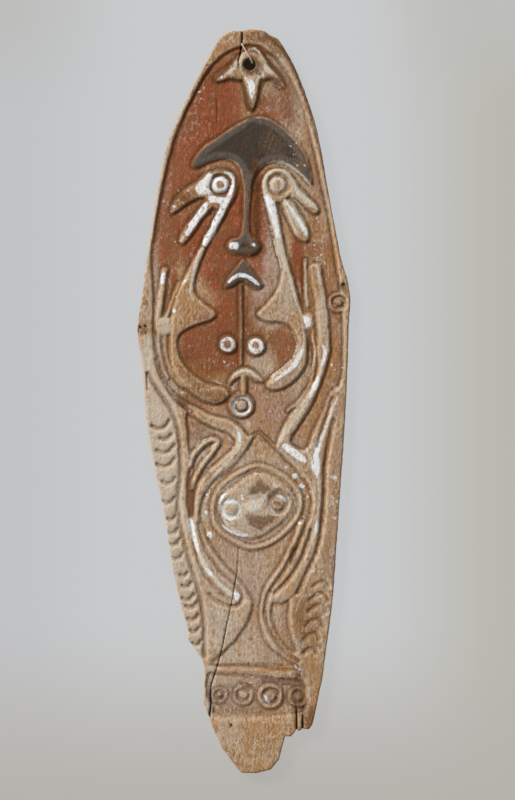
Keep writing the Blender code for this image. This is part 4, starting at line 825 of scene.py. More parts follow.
def front_height(x, y, depth, edge, cuts):
    """Height of the carved side."""
    soft = patches(x, y, PATCHES["soft"])
    left = 1 - SOFT_LOSS * soft
    rise = np.clip(depth / (RISE * (1 + SOFT_SPREAD * soft)), 0, 1)
    height = ground_height(x, y) + RELIEF * left * (1 - (1 - rise) ** RISE_POWER)
    height -= TOE_DEPTH * left * np.exp(-((depth + TOE_PLACE) / TOE_WIDTH) ** 2)
    for size, cell_x, cell_y, seed in FACE_WAVES:
        height += size * noise(x, y, cell_x, cell_y, seed)
    height -= EDGE_ROUND * UNIT * rounding(edge) * (1 + 0.25 * noise(x, y, 7, 7, 24))
    return height - cuts


def back_height(x, y, whole_edge, edge):
    """Height of the hollowed back, with the marks of the adze."""
    t = np.clip((whole_edge * UNIT - HOLLOW_MARGIN) / HOLLOW_RAMP, 0, 1)
    hollow = HOLLOW_DEPTH * (1 - (1 - t) ** 2)
    adze = np.abs(noise(x + 0.12 * y, y, 17, 26, 31)) + 0.4 * np.abs(noise(x, y, 9, 15, 32))
    return (hollow - ADZE_DEPTH * adze * np.clip(t * 4, 0, 1)) + 0.5 * EDGE_ROUND * UNIT * rounding(edge)


def densify(ring, step):
    """A closed ring with extra points along its long sides."""
    out = []
    for a, b in zip(ring, np.roll(ring, -1, axis=0)):
        pieces = max(1, int(round(np.linalg.norm(b - a) / step)))
        out += [a + (b - a) * k / pieces for k in range(pieces)]
    return np.array(out)


def board_outline():
    """Closed outline of the board, with the split at the top, the broken foot and worn edges."""
    right = smooth([TOP_RIGHT[-1]] + RIGHT_FLANK, False, OUTLINE_STEP)[1:-1]
    left = smooth([LEFT_BREAK[-1]] + LEFT_FLANK + [TOP_LEFT[0]], False, OUTLINE_STEP)[1:-1]
    parts = [TOP_SPLIT, TOP_RIGHT, right, [RIGHT_FLANK[-1]], RIGHT_BREAK, TANG, LEFT_BREAK, left, TOP_LEFT]
    ring = densify(np.array([tuple(map(float, p)) for part in parts for p in part]), OUTLINE_STEP)
    x, y = ring[:, 0], ring[:, 1]
    along = np.roll(ring, -1, axis=0) - np.roll(ring, 1, axis=0)
    along /= np.linalg.norm(along, axis=1)[:, None] + 1e-9
    in_split = np.zeros(x.shape, bool)
    for middle, half_width, top, foot in SPLIT_AREAS:
        in_split |= (np.abs(x - middle) < half_width) & (y > top) & (y < foot)
    size = np.where(in_split, SPLIT_WEAR, OUTLINE_WEAR)
    push = size * (noise(x, y, 6, 6, 41) + 0.7 * noise(x, y, 2.4, 2.4, 42))
    return ring + push[:, None] * np.stack([along[:, 1], -along[:, 0]], axis=1)


def unbroken_outline():
    """The outline as it was before the splits, which the hollow of the back follows."""
    right = smooth(TOP_RIGHT + RIGHT_FLANK, False, WHOLE_OUTLINE_STEP)
    left = smooth(LEFT_FLANK + TOP_LEFT, False, WHOLE_OUTLINE_STEP)
    return np.vstack([right, RIGHT_BREAK[:1], TANG[1:-1], left])


def hole_ring():
    """The hanging hole: a round hole, a little uneven."""
    turn = np.arange(HOLE_SIDES) * 2 * math.pi / HOLE_SIDES
    radius = HOLE_DIAMETER / 2 / UNIT * (1 + 0.03 * np.sin(2 * turn + 0.6) + 0.02 * np.sin(5 * turn))
    return np.stack([HOLE_CENTRE[0] + radius * np.cos(turn), HOLE_CENTRE[1] + radius * np.sin(turn)], axis=1)


def contour_lines(field, level):
    """Lines along which a grid of values crosses a level, as lists of grid places."""
    high = field > level
    code = (high[:-1, :-1] * 1 + high[1:, :-1] * 2 + high[1:, 1:] * 4 + high[:-1, 1:] * 8)
    # Sides of a cell: 0 low j, 1 high i, 2 high j, 3 low i. Each pair keeps the high ground on its left.
    pairs = {1: [(0, 3)], 2: [(1, 0)], 3: [(1, 3)], 4: [(2, 1)], 5: [(0, 3), (2, 1)], 6: [(2, 0)],
             7: [(2, 3)], 8: [(3, 2)], 9: [(0, 2)], 10: [(1, 0), (3, 2)], 11: [(1, 2)], 12: [(3, 1)],
             13: [(0, 1)], 14: [(3, 0)]}

    def side(i, j, number):
        return [(i, j, 0), (i + 1, j, 1), (i, j + 1, 0), (i, j, 1)][number]

    following = {}
    for i, j in zip(*np.nonzero((code > 0) & (code < 15))):
        for start, end in pairs[int(code[i, j])]:
            following[side(int(i), int(j), start)] = side(int(i), int(j), end)

    def crossing(key):
        i, j, along_j = key
        i2, j2 = (i, j + 1) if along_j else (i + 1, j)
        t = (level - field[i, j]) / (field[i2, j2] - field[i, j])
        return i + (i2 - i) * t, j + (j2 - j) * t

    heads = set(following) - set(following.values())
    lines = []
    for start in sorted(heads) + sorted(following):
        if start not in following:
            continue
        line, key = [crossing(start)], start
        while key in following:
            key = following.pop(key)
            line.append(crossing(key))
        lines.append(np.array(line))
    return lines


def resampled(line, step=None, count=None):
    """A line as points an even step apart, or as a count of even points."""
    run = np.concatenate([[0], np.cumsum(np.linalg.norm(np.diff(line, axis=0), axis=1))])
    at = np.linspace(0, run[-1], count or max(2, int(round(run[-1] / step)) + 1))
    return np.stack([np.interp(at, run, values) for values in line.T], axis=1)


class Grid:
    """A regular grid over the drawing, and fields of values on it."""

    def __init__(self):
        xs = np.arange(GRID_X[0], GRID_X[1], GRID_STEP)
        ys = np.arange(GRID_Y[0], GRID_Y[1], GRID_STEP)
        self.x, self.y = np.meshgrid(xs, ys, indexing="ij")

    def work_out(self, function):
        """A field from a function of places."""
        return function(self.x.ravel(), self.y.ravel()).reshape(self.x.shape)

    def edge_field(self, ring, reach):
        """Distance to a closed ring, positive inside it, exact up to a reach."""
        best = np.full(self.x.shape, float(reach))
        origin = np.array([GRID_X[0], GRID_Y[0]])
        for start, end in zip(ring, np.roll(ring, -1, axis=0)):
            low = ((np.minimum(start, end) - reach - origin) / GRID_STEP).astype(int)
            high = ((np.maximum(start, end) + reach - origin) / GRID_STEP + 2).astype(int)
            box = (slice(max(low[0], 0), high[0]), slice(max(low[1], 0), high[1]))
            best[box] = np.minimum(best[box], from_piece(self.x[box], self.y[box], start, end)[1])
        return np.where(inside(self.x, self.y, ring), best, -best)

    def read(self, field, x, y):
        """Values of a field at any places."""
        u = np.clip((x - GRID_X[0]) / GRID_STEP, 0, field.shape[0] - 1.001)
        v = np.clip((y - GRID_Y[0]) / GRID_STEP, 0, field.shape[1] - 1.001)
        i, j = u.astype(int), v.astype(int)
        s, t = u - i, v - j
        return ((field[i, j] * (1 - s) + field[i + 1, j] * s) * (1 - t)
                + (field[i, j + 1] * (1 - s) + field[i + 1, j + 1] * s) * t)

    def lines(self, field, level, step):
        """Even lines on the drawing along which a field has a level."""
        origin = np.array([GRID_X[0], GRID_Y[0]])
        found = [origin + line * GRID_STEP for line in contour_lines(field, level)]
        return [resampled(line, step) for line in found if len(line) > 4]


class Plan:
    """Points and lines to be joined into triangles, inside an outline and outside a hole."""

    def __init__(self, outline, hole):
        self.points, self.edges = [], []
        self.outline, self.hole = outline, hole
        self.add_line(outline, closed=True)
        self.add_line(hole, closed=True)

    def add_points(self, xy):
        self.points += [Vector((float(x), float(y))) for x, y in xy]

    def add_line(self, line, closed=False):
        start, count = len(self.points), len(line)
        self.add_points(line)
        self.edges += [(start + k, start + k + 1) for k in range(count - 1)]
        if closed:
            self.edges.append((start + count - 1, start))

    def add_runs(self, line, good):
        """Adds the runs of a line whose points are marked good."""
        breaks = np.flatnonzero(np.diff(np.concatenate([[0], good.astype(int), [0]])))
        for start, end in zip(breaks[::2], breaks[1::2]):
            if end - start > 1:
                self.add_line(line[start:end])

    def off_outline(self, line):
        """Which points of a closed line have both of its stretches beside them clear of the outline."""
        middle = (line + np.roll(line, -1, axis=0)) / 2
        outline = np.vstack([self.outline, self.outline[:1]])
        clear = distance_to_line(middle[:, 0], middle[:, 1], outline) > OUTLINE_CLEARANCE
        return clear & np.roll(clear, 1)

    def triangles(self):
        """Points and triangles, without what falls outside the outline or in the hole."""
        points, _, faces, *_ = delaunay_2d_cdt(self.points, self.edges, [], 0, 1e-4)
        xy = np.array([(p.x, p.y) for p in points])
        tris = np.array([tuple(f) for f in faces])
        middle = xy[tris].mean(axis=1).T
        tris = tris[inside(*middle, self.outline) & ~inside(*middle, self.hole)]
        used = np.unique(tris)
        renumber = np.full(len(xy), -1)
        renumber[used] = np.arange(len(used))
        return xy[used], renumber[tris]


def open_edges(tris):
    """Directed edges that only one triangle has."""
    pairs = np.vstack([tris[:, [0, 1]], tris[:, [1, 2]], tris[:, [2, 0]]])
    have = set(map(tuple, pairs.tolist()))
    return [(a, b) for a, b in pairs.tolist() if (b, a) not in have]


def loose_grid(step, amount, seed):
    """Single points on a loose, uneven grid over the whole drawing."""
    rng = np.random.default_rng(seed)
    xs = np.arange(GRID_X[0], GRID_X[1], step)
    ys = np.arange(GRID_Y[0], GRID_Y[1], step * LOOSE_ROW_SHARE)
    gx, gy = np.meshgrid(xs, ys, indexing="ij")
    gx = gx + step / 2 * (np.arange(len(ys)) % 2)[None, :]
    x = gx.ravel() + rng.uniform(-amount, amount, gx.size)
    y = gy.ravel() + rng.uniform(-amount, amount, gx.size)
    return x, y


def front_triangles(grid, outline, hole, depth, rim):
    """Plan of the carved side, whose edges follow the forms, the rim and the fine cuts."""
    plan = Plan(outline, hole)
    for level in (0.0, WALL_LINE):
        for line in grid.lines(depth, level, LINE_STEP):
            plan.add_runs(line, grid.read(rim, *line.T) > FORM_LINE_MARGIN)
    for level in (RIM_LINE, EDGE_ROUND):
        for line in grid.lines(rim, level, LINE_STEP):
            plan.add_runs(line, plan.off_outline(line))
    for _, line in FINE_CUTS:
        path = resampled(smooth(line, False, LINE_STEP)[:, :2], LINE_STEP)
        plan.add_runs(path, grid.read(rim, *path.T) > FORM_LINE_MARGIN)
    x, y = loose_grid(FACE_STEP, FACE_JITTER, 51)
    here, margin = grid.read(depth, x, y), grid.read(rim, x, y)
    keep = (margin > FACE_MARGIN) & (np.abs(margin - EDGE_ROUND) > RIM_LINE_GAP)
    for level in (0.0, WALL_LINE):
        keep &= np.abs(here - level) > FORM_LINE_GAP
    plan.add_points(zip(x[keep], y[keep]))
    return plan.triangles()


def back_triangles(grid, outline, hole, rim, whole):
    """Plan of the back, whose edges follow the rim and the hollow's margin."""
    plan = Plan(outline, hole)
    for field, level in ((rim, BACK_RIM_LINE), (np.minimum(whole, rim), HOLLOW_MARGIN / UNIT)):
        for line in grid.lines(field, level, LINE_STEP * 2):
            plan.add_runs(line, (grid.read(rim, *line.T) > BACK_LINE_MARGIN) & plan.off_outline(line))
    x, y = loose_grid(BACK_STEP, BACK_JITTER, 52)
    keep = grid.read(rim, x, y) > BACK_MARGIN
    plan.add_points(zip(x[keep], y[keep]))
    return plan.triangles()


def side_walls(top, top_xy, top_tris, foot, foot_xy):
    """Rows of points and triangles down the board's edge and its hole, between the two plans."""
    edges = open_edges(top_tris)
    upper = list(dict.fromkeys(k for edge in edges for k in edge))
    below = {(round(x, 3), round(y, 3)): k for k, (x, y) in enumerate(foot_xy)}
    lower = [below[(round(x, 3), round(y, 3))] for x, y in top_xy[upper]]
    rows = range(1, WALL_ROWS)
    share = np.array(rows)[None, :, None] / WALL_ROWS
    waves = WALL_WAVE * np.stack([noise(*top_xy[upper].T, 5, 5, 60 + row) for row in rows], axis=1)
    points = (top[upper][:, None] * (1 - share) + foot[lower][:, None] * share
              + waves[:, :, None] * np.array([1, -1, 0]))
    columns, count = {}, len(top) + len(foot)
    for a, b in zip(upper, lower):
        columns[a] = [a, *range(count, count + len(rows)), len(top) + b]
        count += len(rows)
    walls = []
    for a, b in edges:
        for row in range(WALL_ROWS):
            a0, a1, b0, b1 = *columns[a][row:row + 2], *columns[b][row:row + 2]
            walls += [(b0, a0, a1), (b0, a1, b1)]
    return points.reshape(-1, 3), np.repeat(top_xy[upper], len(rows), axis=0), walls


def paint_fields(x, y):
    """How much of each paint and stain, and of painted highlight and shade, there is at each point."""
    fields = {name: patches(x, y, rows) for name, rows in PATCHES.items()}
    fields["chalk"] = np.maximum(fields["chalk"], strokes(x, y, CHALK_AND_HIGHLIGHT_LINES, 0.75))
    brown = strokes(x, y, BROWN_DIRT_AND_SHADE_LINES, 0.85, 3.4) + strokes(x, y, BROWN_LINES, 0.66, 3.6, 2.2)
    fields["umber"] = np.maximum(fields["umber"], brown)
    fields |= {"lime": lime_depth(x, y), "wash": wash_depth(x, y), "soot": soot_and_shade_depth(x, y)}
    return fields


def board_mesh():
    """The carved board: its points, triangles, and the fields that its material reads."""
    grid = Grid()
    outline, hole = board_outline(), hole_ring()
    depth = grid.work_out(standing_depth)
    rim = np.minimum(grid.edge_field(outline, REACH), -grid.edge_field(hole, REACH))
    whole = grid.edge_field(unbroken_outline(), (HOLLOW_MARGIN + HOLLOW_RAMP) / UNIT + 2)
    top_xy, top_tris = front_triangles(grid, outline, hole, depth, rim)
    foot_xy, foot_tris = back_triangles(grid, outline, hole, rim, whole)

    x, y = top_xy.T
    relief, cuts = standing_depth(x, y), cut_depth(x, y)
    height = front_height(x, y, relief, np.maximum(grid.read(rim, x, y), 0), cuts)
    top = np.column_stack([*place(x, y), height])
    x, y = foot_xy.T
    height = back_height(x, y, grid.read(whole, x, y), np.maximum(grid.read(rim, x, y), 0))
    foot = np.column_stack([*place(x, y), height])
    wall, wall_xy, wall_tris = side_walls(top, top_xy, top_tris, foot, foot_xy)

    points = np.vstack([top, foot, wall])
    # The drawing's y runs down, so the triangles are turned over to face outward
    tris = np.vstack([top_tris, foot_tris[:, ::-1] + len(top), wall_tris])[:, ::-1]
    fields = paint_fields(*np.vstack([top_xy, foot_xy, wall_xy]).T)
    for name, values, elsewhere in (("front", np.ones(len(top)), 0), ("relief", relief, REACH),
                                    ("cuts", cuts * 1000, 0)):
        fields[name] = np.full(len(points), float(elsewhere))
        fields[name][:len(top)] = values
    return points, tris, fields


class Value:
    """A value in a material's nodes, whose sums, products and ramps are nodes in turn."""

    def __init__(self, paint, socket):
        self.paint, self.socket = paint, socket

    def __add__(self, other):
        return self.paint.maths("ADD", self, other)

    def __sub__(self, other):
        return self.paint.maths("SUBTRACT", self, other)

    def __mul__(self, other):
        return self.paint.maths("MULTIPLY", self, other)

    def __pow__(self, other):
        return self.paint.maths("POWER", self, other)

    def __abs__(self):
        return self.paint.maths("ABSOLUTE", self)

    def scaled(self, factor, offset):
        return self.paint.maths("MULTIPLY_ADD", self, factor, offset)

    def most(self, other):
        return self.paint.maths("MAXIMUM", self, other)

    def ramp(self, low, high, start=0.0, end=1.0):
        """A smooth step from start to end as the value goes from low to high."""
        node = self.paint.add("MapRange", self, low, high, start, end)
        node.interpolation_type = "SMOOTHSTEP"
        return Value(self.paint, node.outputs[0])


class Paint:
    """Builds the nodes of one material."""

    def __init__(self, name):
        self.material = bpy.data.materials.new(name)
        self.material.use_nodes = True
        self.tree = self.material.node_tree
        self.shader = self.tree.nodes["Principled BSDF"]
        self.place = Value(self, self.add("TexCoord").outputs["Object"])

    def add(self, kind, *values, **settings):
        """Adds a node, with values for its first sockets and for named ones."""
        node = self.tree.nodes.new("ShaderNode" + kind)
        for value, socket in zip(values, node.inputs):
            self.join(value, socket)
        for name, value in settings.items():
            self.join(value, node.inputs[name])
        return node

    def join(self, value, socket):
        if isinstance(value, Value):
            self.tree.links.new(value.socket, socket)
        elif socket.type == "RGBA":
            socket.default_value = (*value, 1)
        else:
            socket.default_value = value

    def set(self, **values):
        """Sets sockets of the surface shader, named with underscores for spaces."""
        for name, value in values.items():
            self.join(value, self.shader.inputs[name.replace("_", " ")])

    def read(self, name):
        node = self.add("Attribute")
        node.attribute_name = name
        return Value(self, node.outputs["Fac"])

    def maths(self, operation, *values):
        node = self.add("Math", *values)
        node.operation = operation
        return Value(self, node.outputs[0])

    def axes(self):
        """Metres across and along the drawing."""
        node = self.add("SeparateXYZ", self.place)
        return Value(self, node.outputs["X"]), Value(self, node.outputs["Y"])

    def noise(self, scale, detail=3.0, roughness=0.55, shift=0.0):
        """Noise whose scale, per metre, may differ along the three axes."""
        mapping = self.add("Mapping", Vector=self.place, Scale=scale, Location=(shift, shift, shift))
        vector = Value(self, mapping.outputs["Vector"])
        node = self.add("TexNoise", Vector=vector, Scale=1.0, Detail=detail, Roughness=roughness)
        return Value(self, node.outputs["Fac"])

    def mix(self, share, first, second):
        node = self.add("Mix")
        node.data_type = "RGBA"
        for name, value in (("Factor", share), ("A", first), ("B", second)):
            self.join(value, node.inputs[name])
        return Value(self, node.outputs["Result"])

    def bump(self, height, distance):
        node = self.add("Bump", Height=height, Distance=distance, Strength=1.0)
        self.set(Normal=Value(self, node.outputs["Normal"]))


def colour(red, green, blue):
    """Linear colour for display values from 0 to 255."""
    return tuple((v / 255 / 12.92 if v <= 10 else ((v / 255 + 0.055) / 1.055) ** 2.4) for v in (red, green, blue))


# Colours of the wood and its paints. Pale wood and chalk also serve as painted highlight on the crests of the forms,
# and earth, dark bark, dirt and dark as painted shade in hollows, cuts and beneath the board
WOOD_DARK = colour(144, 106, 68)
WOOD = colour(182, 145, 103)
WOOD_WARM = colour(178, 126, 76)
WOOD_PINK = colour(166, 138, 117)
PALE_WOOD_AND_HIGHLIGHT = colour(212, 184, 147)
OCHRE = colour(166, 82, 44)
OCHRE_DARK = colour(120, 62, 33)
GOLD = colour(188, 140, 88)
GOLD_DARK = colour(142, 94, 50)
ASH = colour(188, 173, 156)
CHALK_AND_HIGHLIGHT = colour(207, 195, 178)
LIME = colour(241, 241, 240)
LIME_WORN = colour(230, 224, 208)
SOOT = colour(79, 74, 71)
DEEP_SOOT_AND_SHADE = colour(42, 34, 26)
SOOT_PALE = colour(98, 88, 77)
EARTH_AND_SHADE = colour(112, 70, 33)
DARK_EARTH_AND_SHADE = colour(82, 46, 24)
BARK = colour(122, 84, 50)
BARK_DARK_AND_SHADE = colour(98, 74, 50)
DIRT_AND_SHADE = colour(70, 43, 21)
SHADE_DARK = colour(30, 22, 16)
CORD_DARK = colour(198, 176, 156)
CORD_PALE = colour(236, 220, 206)
CORD_SOIL = colour(172, 132, 108)

# The noises that the wood and its paints follow: scale per metre, detail, roughness and shift
TEXTURES = {
    "grain": ((800, 85, 800), 3, 0.6), "streak": ((260, 26, 260), 4, 0.6, 3.0),
    "blotch": ((52, 36, 52), 4, 0.6, 7.0), "mottle": ((190, 140, 190), 5, 0.7, 9.0),
    "fine": ((560, 430, 560), 3, 0.65, 11.0), "fleck": ((340, 150, 340), 4, 0.75, 13.0),
    "stain": ((26, 15, 26), 3, 0.6, 17.0), "speck": ((700, 560, 700), 2, 0.6, 15.0)}


def toned(p, base, layers):
    """A colour with further ones laid over it where noises go from low to high."""
    for value, low, high, start, end, tone in layers:
        base = p.mix(value.ramp(low, high, start, end), base, tone)
    return base


def bare_wood(p, t):
    """Weathered wood without paint."""
    wood = toned(p, p.mix(t.grain.ramp(0.3, 0.68), WOOD_DARK, WOOD), [
        (t.streak, 0.38, 0.66, 0.0, 0.5, PALE_WOOD_AND_HIGHLIGHT), (t.mottle, 0.5, 0.68, 0.0, 0.6, WOOD_DARK),
        (t.blotch, 0.5, 0.72, 0.0, 0.4, PALE_WOOD_AND_HIGHLIGHT), (t.stain, 0.49, 0.6, 0.0, 0.5, WOOD_WARM),
        (t.stain, 0.5, 0.38, 0.0, 0.6, WOOD_PINK)])
    patchy = t.blotch.ramp(0.38, 0.58, 0.3, 1.0)
    wood = p.mix(patchy * t.fleck.ramp(0.51, 0.58, 0.0, 0.6), wood, CHALK_AND_HIGHLIGHT)
    return p.mix(patchy * t.fleck.ramp(0.47, 0.4, 0.0, 0.7), wood, BARK)


def red_ochre(p, t):
    """Worn red paint."""
    return toned(p, p.mix(t.mottle.ramp(0.36, 0.62), OCHRE_DARK, OCHRE), [
        (t.grain, 0.36, 0.66, 0.3, 0.0, OCHRE_DARK), (t.streak, 0.3, 0.5, 0.5, 0.0, OCHRE_DARK),
        (t.fine, 0.64, 0.8, 0.0, 0.14, PALE_WOOD_AND_HIGHLIGHT), (t.stain, 0.46, 0.62, 0.0, 0.5, BARK)])


def black_paint(p, t, soot):
    """Worn black paint, darkest well inside its forms and along a painted shade band down the brow."""
    black = toned(p, p.mix(t.mottle.ramp(0.38, 0.62), SOOT, SOOT_PALE), [
        (t.grain, 0.36, 0.62, 0.4, 0.0, SOOT), (soot, 6.3, 9.0, 0.0, 0.75, DEEP_SOOT_AND_SHADE)])
    worn = p.read("worn")
    black = p.mix(worn * t.mottle.ramp(0.36, 0.62), black, BARK)
    return p.mix(worn * t.fine.ramp(0.52, 0.62, 0.0, 0.8), black, PALE_WOOD_AND_HIGHLIGHT)


def carved_wood():
    """Old wood under worn ochre, soot and lime."""
    p = Paint("painted_wood")
    relief, ash, umber, sooted = (p.read(name) for name in ("relief", "ash", "umber", "sooted"))
    t = SimpleNamespace(**{name: p.noise(*row) for name, row in TEXTURES.items()})
    wear = t.mottle.scaled(2.0, -1.0) + t.fine.scaled(0.8, -0.4) + t.streak.scaled(0.8, -0.4)

    # Ochre, bare gold, grey weathering and chalk over the wood
    ochre = p.read("ochre") * relief.ramp(3.5, -0.5, 0.55, 1.0)
    ochre_share = (ochre + wear).ramp(0.1, 0.9, 0.0, 0.96)
    base = p.mix(ochre_share, bare_wood(p, t), red_ochre(p, t))
    base = toned(p, base, [
        (p.read("gold") + wear, 0.1, 0.9, 0.0, 0.85,
         p.mix((t.mottle + t.grain).ramp(0.85, 1.15), GOLD_DARK, GOLD)),
        (ash + wear, 0.1, 0.95, 0.0, 0.88, p.mix(t.fine.ramp(0.35, 0.7), ASH, CHALK_AND_HIGHLIGHT)),
        (p.read("chalk") + wear, 0.12, 0.9, 0.0, 0.8, p.mix(t.fleck.ramp(0.4, 0.6), ASH, CHALK_AND_HIGHLIGHT))])

    # Pale crests of the forms, partly wear and partly a painted highlight, chalky on the lower half
    firm = p.read("soft").scaled(-0.85, 1.0)
    bright = p.maths("SUBTRACT", 1.0, sooted)
    crest_wear_and_highlight = relief.ramp(0.7, 1.9) * relief.ramp(5.0, 2.6) * firm * bright
    base = p.mix(crest_wear_and_highlight * t.fleck.ramp(0.36, 0.6, 0.2, 0.55), base, PALE_WOOD_AND_HIGHLIGHT)
    along = p.axes()[1]
    base = p.mix(crest_wear_and_highlight * (along.ramp(0.0, -0.06) * t.fleck.ramp(0.42, 0.58, 0.0, 0.42)), base, CHALK_AND_HIGHLIGHT)

    # Black, then worn white and thick lime
    soot = p.read("soot")
    soot_share = (soot + t.mottle.scaled(2.4, -2.7)).ramp(-0.6, 0.8, 0.0, 0.96)
    base = p.mix(soot_share, base, black_paint(p, t, soot))
    chips = t.fine.scaled(4.2, -2.1) + t.mottle.scaled(4.2, -2.1)
    wash_share = (p.read("wash") + chips).ramp(-0.6, 1.0, 0.0, 0.78)
    base = p.mix(wash_share, base, p.mix(t.fine.ramp(0.35, 0.7), CHALK_AND_HIGHLIGHT, LIME_WORN))
    lime_share = (p.read("lime") + chips).ramp(-0.55, 0.5, 0.0, 0.97)
    lime_share = lime_share * (t.fine + t.mottle).ramp(1.07, 1.17, 1.0, 0.3)
    base = p.mix(lime_share, base, p.mix(t.mottle.ramp(0.5, 0.7, 0.0, 0.4), LIME, CHALK_AND_HIGHLIGHT))

    # Painted shade, partly dirt: on the ground along the foot of the forms, on their walls in the places
    # marked for it, and down the middle of the grooves
    unlimed = lime_share.most(wash_share).scaled(-0.85, 1.0)
    firm = firm * unlimed
    foot = relief.ramp(-5.0, -0.4) * relief.ramp(1.7, 0.3) * firm
    wall = relief.ramp(-1.6, 0.2) * relief.ramp(2.7, 1.2) * (sooted * unlimed)
    groove_dirt_and_shade = relief.ramp(-2.8, -1.2) * relief.ramp(-0.1, -1.0) * firm
    base = p.mix(foot * t.mottle.ramp(0.3, 0.62, 0.7, 0.3), base, EARTH_AND_SHADE)
    base = p.mix(wall * t.fleck.ramp(0.42, 0.58, 0.9, 0.45), base, BARK_DARK_AND_SHADE)
    base = p.mix(groove_dirt_and_shade * t.fine.ramp(0.3, 0.62, 0.85, 0.35), base, DIRT_AND_SHADE)
    # Brown that is partly dirt and partly painted shade, such as the shadow right of the nose
    brown_dirt_and_shade_share = (umber + wear).ramp(0.05, 0.85, 0.0, 0.85)
    base = p.mix(brown_dirt_and_shade_share, base, p.mix(t.mottle.ramp(0.4, 0.62), DARK_EARTH_AND_SHADE, EARTH_AND_SHADE))

    # Pale and dark bits, and painted shade in the cuts, cracks and pits, darker where they are deeper
    unpainted = p.maths("SUBTRACT", 1.0, (ochre_share * 0.8).most(soot_share.most(brown_dirt_and_shade_share)))
    base = p.mix(ash.scaled(0.08, t.fine).ramp(0.6, 0.7, 0.0, 0.45) * unpainted, base, PALE_WOOD_AND_HIGHLIGHT)
    base = toned(p, base, [(umber.scaled(0.13, t.speck), 0.63, 0.73, 0.0, 0.6, DIRT_AND_SHADE),
                           (p.read("cuts"), 0.3, 2.2, 0.0, 0.9, SHADE_DARK)])

    bare = p.mix(t.grain.ramp(0.3, 0.7), WOOD_DARK, WOOD)
    bare = p.mix(t.blotch.ramp(0.4, 0.7, 0.0, 0.5), bare, EARTH_AND_SHADE)
    p.set(Base_Color=p.mix(p.read("front"), bare, base), Roughness=soot_share.scaled(-0.12, 0.9),
          Specular_IOR_Level=0.2)
    p.bump(lime_share.scaled(0.4, t.fine * 0.7) + t.fleck.scaled(1.3, t.mottle * 1.4), WOOD_BUMP)
    return p.material


def smooth_piece(name, verts, faces, material):
    """A smooth mesh object in the scene."""
    data = bpy.data.meshes.new(name)
    data.from_pydata(verts, [], faces)
    data.update()
    data.polygons.foreach_set("use_smooth", [True] * len(data.polygons))
    data.materials.append(material)
    obj = bpy.data.objects.new(name, data)
    bpy.context.collection.objects.link(obj)
    return obj


def carved_board():
    """The board as one carved piece."""
    points, tris, fields = board_mesh()
    obj = smooth_piece("carved_board", points.tolist(), tris.tolist(), carved_wood())
    for name, values in fields.items():
        layer = obj.data.attributes.new(name, "FLOAT", "POINT")
        layer.data.foreach_set("value", values.astype(np.float32))
    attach(obj, "root")
    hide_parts("board")


def path_frames(path):
    """Two directions square to a path at each of its points, without twist from one to the next."""
    tangent = np.gradient(path, axis=0)
    tangent /= np.linalg.norm(tangent, axis=1)[:, None]
    side = np.cross(tangent[0], (0.31, 0.52, 0.79))
    frames = []
    for ahead in tangent:
        side = side - ahead * np.dot(side, ahead)
        side /= np.linalg.norm(side)
        frames.append((side, np.cross(ahead, side)))
    return frames


def tube(points, radius, sides, start):
    """Points and faces of a closed tube along a path, numbered from start."""
    turns = [2 * math.pi * k / sides for k in range(sides)]
    verts = [centre + radius * (math.cos(turn) * side + math.sin(turn) * up)
             for centre, (side, up) in zip(points, path_frames(points)) for turn in turns]
    faces = []
    for i in range(len(points) - 1):
        for k in range(sides):
            a, b = start + i * sides + k, start + i * sides + (k + 1) % sides
            faces.append((a, b, b + sides, a + sides))
    last = start + (len(points) - 1) * sides
    faces += [tuple(start + k for k in reversed(range(sides))), tuple(last + k for k in range(sides))]
    return verts, faces


def strands(path, count, pitch, wind_radius, strand_radius, sides, start=0):
    """Points and faces of strands twisted round a path, numbered from start."""
    run = np.concatenate([[0], np.cumsum(np.linalg.norm(np.diff(path, axis=0), axis=1))])
    frames = path_frames(path)
    verts, faces = [], []
    for number in range(count):
        turn = 2 * math.pi * (run / pitch + number / count)
        line = np.array([c + wind_radius * (math.cos(a) * s + math.sin(a) * u)
                         for c, a, (s, u) in zip(path, turn, frames)])
        more, more_faces = tube(line, strand_radius, sides, start + len(verts))
        verts += more
        faces += more_faces
    return verts, faces


def cord_path():
    """Fine points along the cord, in metres, from a smooth curve through its route."""
    knots = [np.array((*place(x, y), z)) for x, y, z in CORD_ROUTE]
    return resampled(smooth(knots, False, CORD_CURVE_STEP), count=CORD_POINTS)


def knot_path():
    """A small overhand knot behind the board, where the cord's ends meet."""
    turn = np.linspace(0, 2 * math.pi, KNOT_POINTS)
    loop = np.stack([np.sin(turn) + 2 * np.sin(2 * turn), np.cos(turn) - 2 * np.cos(2 * turn),
                     -0.9 * np.sin(3 * turn)], axis=1)
    return np.array([*place(*KNOT_PLACE), KNOT_HEIGHT]) + loop * KNOT_SIZE


def hanging_cord():
    """The hanging cord: three twisted strands, tied in a knot behind the board."""
    radius = CORD_DIAMETER / 2
    verts, faces = strands(cord_path(), 3, CORD_PITCH, radius * CORD_WIND, radius * STRAND_SHARE, 8)
    more, more_faces = strands(knot_path(), 2, KNOT_PITCH, radius * KNOT_WIND, radius * STRAND_SHARE, 7,
                               len(verts))
    p = Paint("cord_fibre")
    fibre, soil = p.noise((2600, 2600, 2600), 3, 0.6), p.noise((260, 260, 260), 3, 0.6, 4.0)
    tone = p.mix(fibre.ramp(0.35, 0.7), CORD_DARK, CORD_PALE)
    p.set(Base_Color=p.mix(soil.ramp(0.45, 0.75, 0.0, 0.5), tone, CORD_SOIL), Roughness=0.9)
    p.bump(fibre, FIBRE_BUMP)
    obj = smooth_piece("twisted_cord", [tuple(v) for v in verts + more], faces + more_faces, p.material)
    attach(obj, "root")
    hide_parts("hanging_cord")


